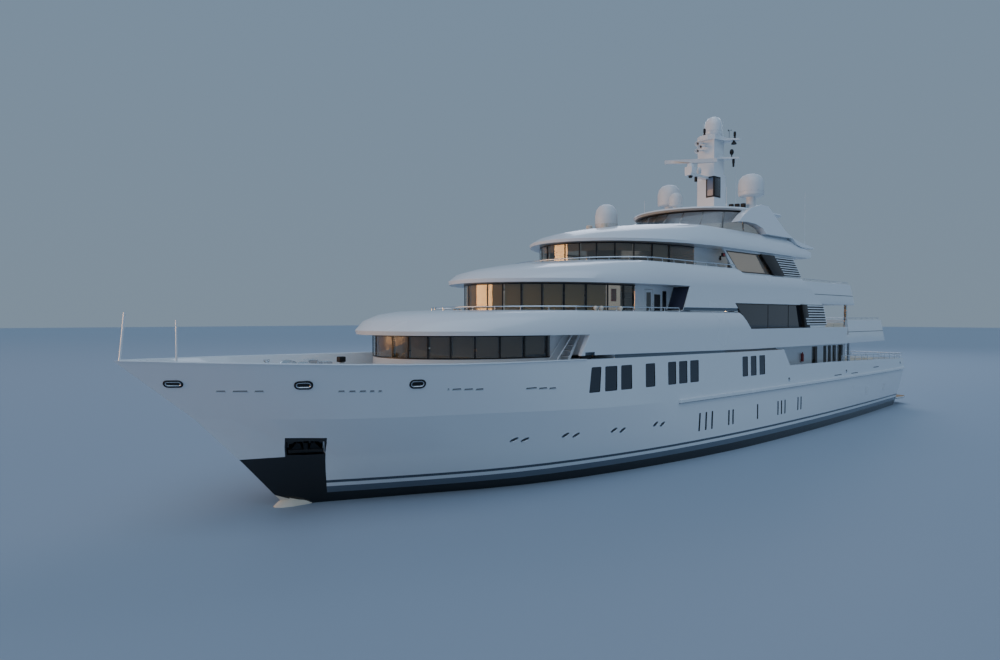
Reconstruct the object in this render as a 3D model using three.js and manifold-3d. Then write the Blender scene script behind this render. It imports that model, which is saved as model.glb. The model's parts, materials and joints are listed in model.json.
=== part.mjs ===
// Motor yacht afloat, at one tenth of its real size: 1 mm here is 10 mm on the ship.
// +X is the bow, +Y port, +Z up. The origin is on the centreline, at the waterline, near midships.
import * as THREE from 'three';
import { mergeVertices } from 'three/addons/utils/BufferGeometryUtils.js';
import Module from 'manifold-3d';

const wasm = await Module();
wasm.setup();

// General sizes
const gap = 0.3; // between pieces that touch
const stemHalf = 3; // half thickness of the stem bar
const wall = 12; // house walls
const bulwark = 15; // bulwark thickness
const transomX = -2700;
const mainDeckZ = 335; // at the rub rail
const foredeckZ = 500;
const tipX = 3337;

// Hull: each level runs from the transom to the stem through eight stations.
// half is the half-breadth and z the height at those stations, or one height for a level line,
// and stem is where the line meets the stem. They run from the keel up to the sheer.
const stationShare = [0, 0.15, 0.35, 0.55, 0.7, 0.82, 0.92, 1];
const hullLevels = [
  { stem: 2440, half: [8, 8, 8, 8, 8, 8, 8, 3], z: [-70, -190, -330, -350, -350, -350, -345, -290] },
  { stem: 2540, half: [260, 330, 400, 400, 270, 130, 42, 3], z: [-64, -170, -290, -305, -305, -300, -285, -225] },
  { stem: 2650, half: [410, 490, 560, 570, 455, 290, 112, 3], z: [-45, -95, -165, -175, -170, -160, -140, -100] },
  { stem: 2715, half: [460, 530, 592, 604, 530, 395, 180, 3], z: 0 },
  { stem: 2762, half: [475, 540, 598, 610, 548, 425, 210, 3], z: 50 },
  { stem: 2890, half: [515, 560, 604, 612, 578, 450, 240, 3], z: 200 },
  { stem: 3070, half: [543, 578, 608, 614, 600, 510, 310, 3], z: [335, 335, 335, 340, 350, 375, 385, 395] },
  { stem: tipX, half: [540, 575, 603, 610, 594, 530, 318, 4], z: [570, 574, 575, 581, 587, 594, 611, 628] },
];
const hullSteps = 28;

// Upper decks: lip is the underside of the brow, top the top of its bulwark, deck the floor inside it
const shellOne = { lip: 703, top: 817, deck: 735, tip: 2335, full: 1430, aft: -1340, sill: 713 };
const shellTwo = { lip: 956, top: 1082, deck: 1000, tip: 1785, full: 880, aft: -960, under: 820 };
const shellThree = { lip: 1202, top: 1330, deck: 1255, tip: 1195, full: 300, aft: -640 };

// Houses: tip is the front glass on the centreline
const houseOne = { tip: 2255, full: 1560, aft: 1502, half: 478, base: 500, sill: 596, head: 703 };
const houseTwo = { tip: 1705, full: 930, aft: 642, half: 470, base: 735, sill: 815, head: 956 };
const houseThree = { tip: 1135, full: 470, aft: 31, half: 430, base: 1000, sill: 1062, head: 1202 };

// Materials
function paint(color, roughness, metalness = 0) {
  return new THREE.MeshStandardMaterial({ color, roughness, metalness });
}
const whitePaint = paint(0xe9edf0, 0.25);
const darkGlass = paint(0x2a211d, 0.1);
const smokedGlass = paint(0x5d4e49, 0.15);
const steel = paint(0xc8ccd0, 0.25, 1);
const bronze = paint(0xb08d4f, 0.35, 1);
const teak = paint(0xa9835a, 0.7);
const domeWhite = paint(0xdfe2e4, 0.45);

const ship = new THREE.Group();

// Shape helpers

function clean(geometry) {
  const plain = geometry.clone();
  plain.deleteAttribute('normal');
  plain.deleteAttribute('uv');
  const merged = mergeVertices(plain, 1e-3);
  const source = merged.index.array;
  const kept = [];
  for (let i = 0; i < source.length; i += 3) {
    const [a, b, c] = [source[i], source[i + 1], source[i + 2]];
    if (a !== b && b !== c && c !== a) kept.push(a, b, c);
  }
  merged.setIndex(kept);
  return merged;
}

function toSolid(geometry) {
  const g = clean(geometry);
  return new wasm.Manifold(new wasm.Mesh({
    numProp: 3,
    vertProperties: new Float32Array(g.attributes.position.array),
    triVerts: new Uint32Array(g.index.array),
  }));
}

function fromSolid(solid) {
  const found = solid.getMesh();
  const geometry = new THREE.BufferGeometry();
  geometry.setAttribute('position', new THREE.BufferAttribute(new Float32Array(found.vertProperties), 3));
  geometry.setIndex(Array.from(found.triVerts));
  return geometry;
}

function join(first, ...rest) {
  return fromSolid(rest.reduce((sum, piece) => sum.add(toSolid(piece)), toSolid(first)));
}

function cut(base, ...tools) {
  return fromSolid(tools.reduce((left, tool) => left.subtract(toSolid(tool)), toSolid(base)));
}

function common(first, second) {
  return fromSolid(toSolid(first).intersect(toSolid(second)));
}

function block(x0, x1, y0, y1, z0, z1) {
  const box = new THREE.BoxGeometry(x1 - x0, y1 - y0, z1 - z0);
  return box.translate((x0 + x1) / 2, (y0 + y1) / 2, (z0 + z1) / 2);
}

// the same piece on the other side of the centreline
function mirrored(geometry) {
  const g = clean(geometry).scale(1, -1, 1);
  g.setIndex(Array.from(g.index.array).reverse());
  return g;
}

// an outline of [x, z] points drawn on the side view and carried from y0 to y1
function sideProfile(outline, y0, y1) {
  const shape = new THREE.Shape(outline.map(([x, z]) => new THREE.Vector2(x, z)));
  const plate = new THREE.ExtrudeGeometry(shape, { depth: y1 - y0, bevelEnabled: false });
  return plate.rotateX(Math.PI / 2).translate(0, y1, 0);
}

// an outline of [x, y] points drawn on the plan and carried from z0 to z1
function planPlate(outline, z0, z1) {
  const shape = new THREE.Shape(outline.map(([x, y]) => new THREE.Vector2(x, y)));
  return new THREE.ExtrudeGeometry(shape, { depth: z1 - z0, bevelEnabled: false }).translate(0, 0, z0);
}

function rod(points, radius, sides = 8, steps = points.length - 1, curveType = 'catmullrom') {
  const ring = new THREE.Shape();
  for (let i = 0; i < sides; i += 1) {
    const angle = (2 * Math.PI * i) / sides;
    const x = radius * Math.cos(angle);
    const y = radius * Math.sin(angle);
    if (i === 0) ring.moveTo(x, y);
    else ring.lineTo(x, y);
  }
  const path = points.length === 2
    ? new THREE.LineCurve3(new THREE.Vector3(...points[0]), new THREE.Vector3(...points[1]))
    : new THREE.CatmullRomCurve3(points.map((p) => new THREE.Vector3(...p)), false, curveType);
  return new THREE.ExtrudeGeometry(ring, { extrudePath: path, steps: Math.max(1, steps), bevelEnabled: false });
}

// a shape turned about a vertical axis: the profile's [radius, height] points go from axis to axis
function turned(profile, x, y, z, sides = 20) {
  const lathe = new THREE.LatheGeometry(profile.map(([r, h]) => new THREE.Vector2(r, h)), sides);
  return lathe.rotateX(Math.PI / 2).translate(x, y, z);
}

// A body symmetric about the centreline. rows go from aft to forward, and each is a list
// of port-side [x, y, z] points from the bottom to the top.
function symmetricBody(rows) {
  const levels = rows[0].length;
  const position = [];
  rows.forEach((row) => row.forEach(([x, y, z]) => position.push(x, y, z, x, -y, z)));
  const port = (i, j) => 2 * (i * levels + j);
  const star = (i, j) => port(i, j) + 1;
  const index = [];
  const quad = (a, b, c, d) => index.push(a, b, c, a, c, d);
  const last = rows.length - 1;
  const top = levels - 1;
  for (let i = 0; i < last; i += 1) {
    for (let j = 0; j < top; j += 1) {
      quad(port(i, j), port(i, j + 1), port(i + 1, j + 1), port(i + 1, j));
      quad(star(i, j), star(i + 1, j), star(i + 1, j + 1), star(i, j + 1));
    }
    quad(port(i, 0), port(i + 1, 0), star(i + 1, 0), star(i, 0));
    quad(port(i, top), star(i, top), star(i + 1, top), port(i + 1, top));
  }
  for (let j = 0; j < top; j += 1) {
    quad(port(0, j), star(0, j), star(0, j + 1), port(0, j + 1));
    quad(port(last, j), port(last, j + 1), star(last, j + 1), star(last, j));
  }
  const geometry = new THREE.BufferGeometry();
  geometry.setAttribute('position', new THREE.Float32BufferAttribute(position, 3));
  geometry.setIndex(index);
  return geometry;
}

const transpose = (lists) => lists[0].map((_, i) => lists.map((list) => list[i]));

// One level of a deck or house: straight sides from aft to full, then a round nose to the tip.
// half is the half-breadth, halfAft that at the aft end, zAft the height there and halfway.
function nosedLevel({ z, tip, full, aft, half, halfAft = half, zAft = z }, noseSteps) {
  const points = [[aft, halfAft, zAft], [(aft + full) / 2, (half + halfAft) / 2, zAft]];
  for (let i = 0; i <= noseSteps; i += 1) {
    const angle = (Math.PI / 2) * (i / noseSteps);
    points.push([full + (tip - full) * Math.sin(angle), Math.max(half * Math.cos(angle), stemHalf), z]);
  }
  return points;
}

function nosedBody(levels, noseSteps = 20) {
  return symmetricBody(transpose(levels.map((level) => nosedLevel(level, noseSteps))));
}

// a straight-walled nosed body, inset by a distance
function nosedBlock({ tip, full, aft, half }, z0, z1, inset = 0, noseSteps = 20) {
  const plan = { tip: tip - inset, full, aft: aft + inset, half: half - inset };
  return nosedBody([{ ...plan, z: z0 }, { ...plan, z: z1 }], noseSteps);
}

function place(name, geometry, material) {
  const mesh = new THREE.Mesh(clean(geometry), material);
  mesh.name = name;
  ship.add(mesh);
  return mesh;
}

// the same piece port and starboard, each its own mesh
function placePair(name, geometry, material) {
  place(`${name}_port`, geometry, material);
  place(`${name}_starboard`, mirrored(geometry), material);
}

// Hull

function hullRows(outward = 0) {
  const lines = hullLevels.map(({ stem, half, z }) => {
    const points = stationShare.map((share, i) => new THREE.Vector3(
      transomX + share * (stem - transomX), half[i] + outward, z[i] ?? z,
    ));
    return new THREE.CatmullRomCurve3(points, false, 'centripetal').getPoints(hullSteps);
  });
  return transpose(lines.map((line) => line.map(({ x, y, z }) => [x, Math.max(y, stemHalf + outward), z])));
}

const sheerLine = hullRows().map((row) => row[row.length - 1]);
const knuckleLine = hullRows().map((row) => row[row.length - 2]);

// half-breadth and height of one of the hull's lines at a distance along the ship
function lineAt(line, x) {
  const found = line.findIndex(([px]) => px >= x);
  const next = found < 0 ? line.length - 1 : Math.max(1, found);
  const [x0, y0, z0] = line[next - 1];
  const [x1, y1, z1] = line[next];
  const share = Math.min((x - x0) / (x1 - x0), 1);
  return { half: y0 + share * (y1 - y0), z: z0 + share * (z1 - z0) };
}
const sheerAt = (x) => lineAt(sheerLine, x);

// height of the foredeck, which rises towards the bow
const foredeckRise = (x) => foredeckZ + Math.max(0, x - 2300) * 0.07;

// the recess leaves a bulwark of even thickness, leaning out with the flare of the bow
const foredeckRecess = (() => {
  const stops = [1500, 1700, 1900, 2100, 2300, 2500, 2700, 2850, 3000, 3120, 3220];
  const rows = stops.map((x) => {
    const sheer = lineAt(sheerLine, x);
    const knuckle = lineAt(knuckleLine, x);
    const lean = (sheer.half - knuckle.half) / (sheer.z - knuckle.z);
    const thick = bulwark + Math.max(0, x - 2700) * 0.03;
    const inner = (z) => Math.max(sheer.half - (sheer.z - z) * lean - thick, stemHalf);
    return [[x, inner(foredeckRise(x)), foredeckRise(x)], [x, inner(sheer.z), sheer.z], [x, inner(700), 700]];
  });
  return symmetricBody(rows);
})();

const aftDeck = { fore: -382, aft: transomX + bulwark };
const aftDeckRecess = (() => {
  const stops = [aftDeck.aft, -2400, -2000, -1600, -1200, -800, aftDeck.fore];
  const rows = stops.map((x) => {
    const y = sheerAt(x).half - bulwark;
    return [[x, y, mainDeckZ], [x, y, 700]];
  });
  return symmetricBody(rows);
})();

// what the side view of the aft bulwark leaves open above it
const aboveAftBulwark = sideProfile([
  [-360, 700], [-360, 574], [-440, 468], [-1090, 463], [-2400, 432], [-2460, 426], [-2800, 424], [-2800, 700],
], -700, 700);

// the garage behind the transom, and the seats of what turns in the hull
const garage = { half: 200, foot: 84, top: 300, fore: -2460, gap: 3, hinge: 0.6 };
const garageRoom = block(transomX - 20, garage.fore, -garage.half, garage.half, garage.foot, garage.top);

// the bulb below the stem, whose nose just breaks the surface
const bulb = turned([
  [0, -110], [22, -103], [38, -80], [48, -40], [52, 40], [46, 200], [30, 300], [0, 330],
], 0, 0, 0, 16).rotateY(-Math.PI / 2).translate(2660, 0, -18);

// Where the shafts, rudders and fins run. The fins' axes are square to the flat of the bilge.
const running = 0.6; // clearance round a shaft or stock
const shaftLine = { y: 210, z: -250, propX: -2250, fore: -1440, radius: 9 };
const rudder = { x: -2430, y: 210, top: -132, foot: -330, stock: 9 };
const fin = { x: 300, y: 484, z: -238, lean: Math.atan2(130, 168), root: 8, span: 96, stock: 8 };
const bothSides = (geometry) => [geometry, mirrored(geometry)];
function alongShaft(x0, x1, radius) {
  return rod([[x0, shaftLine.y, shaftLine.z], [x1, shaftLine.y, shaftLine.z]], radius, 16);
}
const sternTubes = bothSides(alongShaft(-1640, -1300, 20));
const brackets = bothSides(join(
  alongShaft(-2180, -2110, 20),
  planPlate([[-2176, 0], [-2160, 6], [-2130, 7], [-2114, 0], [-2130, -7], [-2160, -6]], shaftLine.z, -60)
    .translate(0, shaftLine.y, 0),
));
const shaftBores = bothSides(alongShaft(-2400, -1430, shaftLine.radius + running));
const rudderBores = bothSides(
  rod([[rudder.x, rudder.y, -200], [rudder.x, rudder.y, -60]], rudder.stock + running, 16),
);
const finBores = bothSides(
  rod([[0, 0, -33], [0, 0, 33]], fin.stock + running, 16).rotateX(fin.lean).translate(fin.x, fin.y, fin.z),
);

// Anchors lie in pockets at the bow. There the side runs in to the stem at entry and leans out by flare.
const anchorSeat = { x: 2695, y: 155, z: 256, entry: 0.52, flare: 0.58, length: 150, height: 72, depth: 26 };
const onBow = (() => {
  const { x, y, z, entry, flare } = anchorSeat;
  const aft = new THREE.Vector3(-Math.cos(entry), Math.sin(entry), 0);
  const level = new THREE.Vector3(Math.sin(entry), Math.cos(entry), 0);
  const upwards = level.clone().multiplyScalar(Math.sin(flare)).add(new THREE.Vector3(0, 0, Math.cos(flare)));
  const outwards = level.clone().multiplyScalar(Math.cos(flare)).add(new THREE.Vector3(0, 0, -Math.sin(flare)));
  return new THREE.Matrix4().makeBasis(aft, upwards, outwards).setPosition(x, y, z);
})();
const anchorPockets = bothSides(block(
  -anchorSeat.length / 2, anchorSeat.length / 2, -anchorSeat.height / 2, anchorSeat.height / 2,
  -anchorSeat.depth, 60,
).applyMatrix4(onBow));

const hull = cut(
  join(symmetricBody(hullRows()), bulb, ...sternTubes, ...brackets),
  foredeckRecess, aftDeckRecess, aboveAftBulwark, garageRoom,
  ...shaftBores, ...rudderBores, ...finBores, ...anchorPockets,
);
place('hull', hull, whitePaint);

// a stock across the pocket, with the shank and two flukes above it
const anchorFluke = planPlate([[-58, 4], [-14, 4], [-20, 38], [-34, 44]], -16, -11);
placePair('anchor', join(
  rod([[-69, 0, -10], [69, 0, -10]], 8, 12),
  block(-9, 9, -8, 44, -anchorSeat.depth + gap, -8),
  anchorFluke,
  anchorFluke.clone().rotateY(Math.PI).translate(0, 0, -27),
).translate(0, -20, 0).applyMatrix4(onBow), steel);

const rubRail = cut(
  common(symmetricBody(hullRows(13)), block(transomX - 10, 815, 0, 700, 327, 344)),
  symmetricBody(hullRows(gap)),
);
placePair('rub_rail', rubRail, whitePaint);

place('swim_platform', planPlate([
  [transomX - gap, -480], [transomX - gap, 480], [-2840, 500], [-2915, 482], [-2942, 400],
  [-2950, 0], [-2942, -400], [-2915, -482], [-2840, -500],
], 48, 70), teak);

// Upper-deck shell: the side above the hull's groove, the brow and the bulwark of the deck above

const shellOneOuter = nosedBody([
  { z: 605, zAft: 590, tip: shellOne.tip - 10, half: 600, full: shellOne.full, aft: shellOne.aft },
  { z: shellOne.lip, tip: shellOne.tip, half: 606, full: shellOne.full, aft: shellOne.aft },
  { z: 722, tip: shellOne.tip + 5, half: 607, full: shellOne.full, aft: shellOne.aft },
  { z: 765, tip: shellOne.tip - 40, half: 602, full: shellOne.full, aft: shellOne.aft },
  { z: 795, tip: shellOne.tip - 125, half: 593, full: shellOne.full, aft: shellOne.aft },
  { z: 811, tip: shellOne.tip - 240, half: 581, full: shellOne.full, aft: shellOne.aft },
  { z: shellOne.top, tip: shellOne.tip - 350, half: 566, full: shellOne.full, aft: shellOne.aft },
]);
const shellOneRecess = nosedBody([
  { z: shellOne.deck, tip: 1850, full: 1400, aft: -1400, half: 572 },
  { z: 790, tip: 1850, full: 1400, aft: -1400, half: 572 },
  { z: 830, tip: 1820, full: 1400, aft: -1400, half: 545 },
]);
const underBrowOne = sideProfile([
  [1507, shellOne.lip], [2500, shellOne.lip], [2500, 560], [1580, 560],
], -700, 700);
const passageOne = block(1500, 1620, -575, 575, 580, shellOne.lip);
const aboveSill = sideProfile([
  [158, 840], [155, 817], [56, shellOne.sill], [-1400, shellOne.sill], [-1400, 840],
], -700, 700);
const groovePlinth = symmetricBody(sheerLine.filter(([x]) => x > -360 && x < 1490)
  .map(([x, y, z]) => [[x, y - 16, z + gap], [x, y - 16, 640]]));
// a dark notch where the groove starts
const grooveNotches = bothSides(block(1469, 1530, 578, 700, 560, 620));
place('upper_deck_shell', join(
  cut(shellOneOuter, shellOneRecess, underBrowOne, passageOne, aboveSill, ...grooveNotches),
  groovePlinth,
), whitePaint);

// Bridge-deck shell: full-beam side with the long dark window, the second brow and its bulwark

const shellTwoOuter = nosedBody([
  { z: shellOne.sill + gap, tip: shellTwo.tip - 20, half: 594, full: shellTwo.full, aft: -1100 },
  { z: shellTwo.under, tip: shellTwo.tip - 10, half: 588, full: shellTwo.full, aft: -1100 },
  { z: shellTwo.lip, tip: shellTwo.tip, half: 582, full: shellTwo.full, aft: -1100 },
  { z: 975, tip: shellTwo.tip + 4, half: 583, full: shellTwo.full, aft: -1100 },
  { z: 1012, tip: shellTwo.tip - 50, half: 576, full: shellTwo.full, aft: -1100 },
  { z: 1042, tip: shellTwo.tip - 170, half: 565, full: shellTwo.full, aft: -1100 },
  { z: 1066, tip: shellTwo.tip - 310, half: 552, full: shellTwo.full, aft: -1100 },
  { z: shellTwo.top, tip: shellTwo.tip - 420, half: 534, full: shellTwo.full, aft: -1100 },
]);
const shellTwoRecess = nosedBody([
  { z: shellTwo.deck, tip: 1260, full: 850, aft: -1200, half: 540 },
  { z: 1050, tip: 1260, full: 850, aft: -1200, half: 540 },
  { z: 1100, tip: 1230, full: 850, aft: -1200, half: 512 },
]);
// beside the third tier's long window the bulwark steps down
const bulwarkStep = sideProfile([[125, 1200], [125, 1090], [60, 1048], [-700, 1048], [-700, 1200]], -700, 700);
const underBrowTwo = sideProfile([
  [668, shellTwo.lip], [1950, shellTwo.lip], [1950, 600], [50, 600], [50, shellOne.sill - 5],
  [55, shellOne.sill], [154, 817 + gap], [154, shellTwo.under], [730, shellTwo.under],
], -700, 700);
const sideWindow = [[207, 869], [-625, 869], [-682, 700], [44, 700]];
const upperRooms = block(-960, 640, -566, 566, 600, 935);
const houseTwoSeat = block(600, 900, -houseTwo.half - gap, houseTwo.half + gap, 600, shellTwo.lip);
const shellTwoSlope = [[-690, 1045], [-960, 872], [-1020, 600]];
const sideAftEnd = sideProfile([[-690, 1200], ...shellTwoSlope, [-1300, 600], [-1300, 1200]], -700, 700);
// a doorway and a window each side of it in the aft wall
const aftWallOpenings = [[-100, 100], [150, 500], [-500, -150]].map(
  ([y0, y1]) => block(-1100, -950, y0, y1, 722, 855),
);
// the shadow gap between this side and the bulwark of the shell below
const sideGrooves = bothSides(block(150, 760, 580, 700, 810, 838));
place('bridge_deck_shell', cut(
  shellTwoOuter, shellTwoRecess, bulwarkStep, underBrowTwo, upperRooms, houseTwoSeat, sideAftEnd,
  sideProfile(sideWindow, -700, 700), ...aftWallOpenings, ...sideGrooves,
), whitePaint);

const glassFoot = shellOne.sill + gap;
const sideGlass = sideProfile([[198, 868], [-624, 868], [-675, glassFoot], [52, glassFoot]], 570, 578);
placePair('upper_side_window', sideGlass, darkGlass);

// Sun-deck shell: the roof of the third tier with its bulwark

const shellThreeOuter = nosedBody([
  { z: shellThree.lip, tip: shellThree.tip, half: 545, full: shellThree.full, aft: -900, halfAft: 520 },
  { z: 1218, tip: shellThree.tip + 4, half: 546, full: shellThree.full, aft: -920, halfAft: 522 },
  { z: 1248, tip: shellThree.tip - 55, half: 535, full: shellThree.full, aft: -930, halfAft: 515 },
  { z: 1280, tip: shellThree.tip - 170, half: 515, full: shellThree.full, aft: -800, halfAft: 500 },
  { z: 1308, tip: shellThree.tip - 310, half: 494, full: shellThree.full, aft: -720, halfAft: 482 },
  { z: shellThree.top, tip: shellThree.tip - 460, half: 470, full: shellThree.full, aft: -680, halfAft: 462 },
]);
const shellThreeRecess = nosedBody([
  { z: shellThree.deck, tip: 800, full: 300, aft: -560, half: 462 },
  { z: 1300, tip: 800, full: 300, aft: -560, half: 462 },
  { z: 1350, tip: 770, full: 300, aft: -560, half: 446 },
]);
place('sun_deck_shell', cut(shellThreeOuter, shellThreeRecess), whitePaint);

// Houses with their bands of glass

const sideDoor = { aft: 854, fore: 928, foot: 745, top: 935, gap: 2, hinge: 0.6 };
const doorways = [1, -1].map((side) => block(
  sideDoor.aft, sideDoor.fore, side * houseTwo.half - 30, side * houseTwo.half + 30, sideDoor.foot, sideDoor.top,
));

// open is where the band of glass begins, behind which the wall is whole
function house(plan, name, open, holes = []) {
  const outer = nosedBlock(plan, plan.base + gap, plan.head - gap);
  const rooms = nosedBlock({ ...plan, aft: plan.aft - 60 }, plan.base - 5, plan.head + 5, wall);
  const band = block(open, plan.tip + 50, -700, 700, plan.sill, plan.head + 5);
  place(`${name}_house`, cut(outer, rooms, band, ...holes), whitePaint);
  const glass = cut(
    nosedBlock(plan, plan.sill + gap, plan.head - gap, 0.5),
    nosedBlock({ ...plan, aft: plan.aft - 60 }, plan.sill - 5, plan.head + 5, 5.5),
    block(plan.aft - 60, open + gap, -700, 700, plan.sill - 5, plan.head + 5),
  );
  place(`${name}_glass`, glass, darkGlass);
}

house(houseOne, 'main_tier', 1640);
house(houseTwo, 'upper_tier', 1005, doorways);
house(houseThree, 'bridge', 400);

// Third tier's full-beam sides: the long window of pale glass, and the louvred engine casing behind it

const bridgeSide = { half: 508, aftTop: -650, aftDeck: 935 };
const bridgeSideOuter = sideProfile([
  [214, shellThree.lip - gap], [30, shellTwo.deck + gap], [-762, shellTwo.deck + gap],
  [-863, bridgeSide.aftDeck + gap], [-888, bridgeSide.aftDeck + gap], [bridgeSide.aftTop, shellThree.lip - gap],
], -bridgeSide.half, bridgeSide.half);
const bridgeSideRooms = block(-640, 18, -bridgeSide.half + wall, bridgeSide.half - wall, 990, 1190);
const bridgeSideFront = block(30, 400, -bridgeSide.half + wall, bridgeSide.half - wall, 990, 1300);
const houseThreeSeat = block(0, 400, -houseThree.half - gap, houseThree.half + gap, 990, 1190);
const bridgeSideWindow = sideProfile([[186, 1190], [-222, 1190], [-392, 1064], [35, 1064]], -700, 700);
place('bridge_side_walls', cut(
  bridgeSideOuter, bridgeSideRooms, bridgeSideFront, houseThreeSeat, bridgeSideWindow,
), whitePaint);
placePair('bridge_side_window', sideProfile([
  [185, 1189.7], [-221.7, 1189.7], [-390.9, 1064.3], [34.8, 1064.3],
], bridgeSide.half - 9, bridgeSide.half - 2), smokedGlass);

// Louvred panels: a frame with its slats in one piece, on the side behind each long window

function louvre({ top, foot, z0, z1, slats, y }) {
  const edge = (z) => (z - z0) / (z1 - z0);
  const fore = (z) => foot[0] + (top[0] - foot[0]) * edge(z);
  const aft = (z) => foot[1] + (top[1] - foot[1]) * edge(z);
  const pitch = (z1 - z0) / slats;
  let panel = sideProfile([[fore(z0), z0], [fore(z1), z1], [aft(z1), z1], [aft(z0), z0]], y, y + 3);
  for (let i = 0; i < slats; i += 1) {
    const low = z0 + i * pitch + pitch * 0.3;
    const high = low + pitch * 0.45;
    const slat = sideProfile([[fore(low) - 4, low], [fore(high) - 4, high], [aft(high) + 4, high],
      [aft(low) + 4, low]], y + 1, y + 10);
    panel = join(panel, slat);
  }
  return panel;
}
// the lower panel leans in with the side that it is fixed to
const louvreLean = 0.05;
placePair('lower_louvre', louvre({
  foot: [-690, -1006], top: [-634, -962], z0: 730, z1: 872, slats: 8, y: 594 + gap,
}).applyMatrix4(new THREE.Matrix4().set(
  1, 0, 0, 0, 0, 1, -louvreLean, louvreLean * shellOne.sill, 0, 0, 1, 0, 0, 0, 0, 1,
)), whitePaint);
placePair('upper_louvre', louvre({
  foot: [-412, -790], top: [-250, -664], z0: 1066, z1: 1188, slats: 8, y: bridgeSide.half + gap,
}), whitePaint);

// Aft decks: a floor slab with its bulwark, sloping in at the aft end

// front is what the band's fore end is cut by
function aftDeckBand({ name, fore, aft, slope, under, deck, top, half, front }) {
  const taper = 26;
  const outer = nosedBody([
    { z: under, aft: aft + 10, half: half - 2 },
    { z: under + 10, aft, half },
    { z: (under + top) / 2, aft: aft + slope / 2, half: half - 6 },
    { z: top, aft: aft + slope, half: half - 16 },
  ].map((level) => ({ ...level, tip: fore, full: fore - 1, halfAft: level.half - taper })), 1);
  const recess = nosedBody([
    { z: deck, half: half - 34 },
    { z: top + 20, half: half - 34 },
  ].map((level) => ({ ...level, tip: fore + 40, full: fore + 39, aft: aft + slope + bulwark,
    halfAft: level.half - taper })), 1);
  place(name, cut(outer, recess, front), whitePaint);
}
aftDeckBand({
  name: 'upper_aft_deck', fore: shellOne.aft - gap, aft: -2160, slope: 40,
  under: 590, deck: 655, top: 765, half: 598,
  front: block(shellOne.aft - 60, shellOne.aft + 60, -700, 700, 655, 800),
});
aftDeckBand({
  name: 'bridge_aft_deck', fore: -640, aft: -1620, slope: 45,
  under: 880, deck: 935, top: 1038, half: 570,
  front: sideProfile([[-690, 1300], ...shellTwoSlope, [0, 600], [0, 1300]], -700, 700)
    .translate(-2 * gap, 0, 0),
});

// Main-deck house: seen through the side decks and from the aft deck

const saloon = { fore: aftDeck.fore - gap, aft: -1640, half: 470, top: 589 };
const saloonDoorway = { half: 120, top: 560 };
const saloonPanes = [[-1590, 90], [-1465, 55], [-1375, 45], [-1295, 45], [-1145, 85]]; // aft edge, width
const saloonFloor = mainDeckZ + 8;
const saloonOpenings = [
  block(
    saloon.aft - 30, saloon.aft + 40, -saloonDoorway.half, saloonDoorway.half,
    saloonFloor, saloonDoorway.top,
  ),
  ...saloonPanes.map(([x, width]) => block(x, x + width, -600, 600, 352, 570)),
];
const saloonInside = saloon.half - wall;
place('main_deck_house', cut(
  block(saloon.aft, saloon.fore, -saloon.half, saloon.half, mainDeckZ + gap, saloon.top),
  block(saloon.aft + wall, saloon.fore - wall, -saloonInside, saloonInside, saloonFloor, saloon.top - 10),
  ...saloonOpenings,
), whitePaint);
placePair('main_deck_window', block(
  -1596, -1054, saloon.half - wall - 4, saloon.half - wall - gap, 348, 574,
), darkGlass);

// two leaves that slide apart behind the aft wall
const leaf = { half: 126, thick: 6 };
placePair('saloon_door', block(
  saloon.aft + wall + 5, saloon.aft + wall + 5 + leaf.thick, gap, leaf.half,
  saloonFloor + gap, saloonDoorway.top + 4,
), darkGlass);

// Pillars under the aft decks
const pillars = [
  { name: 'main_deck_pillar', x: -1550, y: 530, foot: mainDeckZ + gap, head: 590 - gap },
  { name: 'upper_deck_pillar', x: -1540, y: 510, foot: 655 + gap, head: 880 - gap },
];
pillars.forEach(({ name, x, y, foot, head }) => {
  placePair(name, block(x - 9, x + 9, y - 9, y + 9, foot, head), steel);
});

// Hardtop over the sun deck, its screen and the arch that carries it

const hardtopZ = 1500;
const hardtopPlan = { tip: 170, full: -300, aft: -640, half: 440 };
place('hardtop', nosedBody([
  { ...hardtopPlan, z: hardtopZ - 22, tip: hardtopPlan.tip - 18, half: hardtopPlan.half - 10 },
  { ...hardtopPlan, z: hardtopZ - 10 },
  { ...hardtopPlan, z: hardtopZ, tip: hardtopPlan.tip - 10, half: hardtopPlan.half - 6 },
  { ...hardtopPlan, z: hardtopZ + 12, tip: hardtopPlan.tip - 120, half: hardtopPlan.half - 70 },
]), whitePaint);

const screenPlan = { tip: 290, full: -250, aft: -420, half: 436 };
const screenHead = hardtopZ - 22 - gap;
place('sun_deck_windscreen', cut(
  nosedBody([
    { ...screenPlan, z: shellThree.deck + gap },
    { ...screenPlan, tip: 120, half: 405, z: screenHead },
  ]),
  nosedBody([
    { ...screenPlan, tip: 283, half: 430, aft: -500, z: shellThree.deck - 10 },
    { ...screenPlan, tip: 112, half: 398, aft: -500, z: screenHead + 12 },
  ]),
), smokedGlass);

// each leg sweeps from the wing at the roof's aft corner up and forward to the hardtop, leaning inwards
const archLean = 0.22;
const archFoot = shellThree.top + gap;
const archLeg = sideProfile([
  [-990, 1276], [-985, 1286], [-760, 1316], [-690, 1334], [-600, 1378], [-430, 1530], [-330, 1530],
  [-200, 1496], [-90, 1440], [0, 1385], [-100, 1392], [-210, 1388], [-290, 1368], [-325, archFoot],
  [-681, archFoot], [-740, 1290], [-800, 1276],
], 446, 500);
const leaning = new THREE.Matrix4().set(1, 0, 0, 0, 0, 1, -archLean, archLean * archFoot, 0, 0, 1, 0, 0, 0, 0, 1);
const hardtopSeat = block(-645, 300, 300, hardtopPlan.half + gap, hardtopZ - 24, hardtopZ + 12);
placePair('arch_leg', cut(
  archLeg.applyMatrix4(leaning), hardtopSeat, fromSolid(toSolid(shellThreeOuter).translate([0, 0, gap])),
), whitePaint);

// Mast, its arms, the radar scanner and the domes

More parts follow.
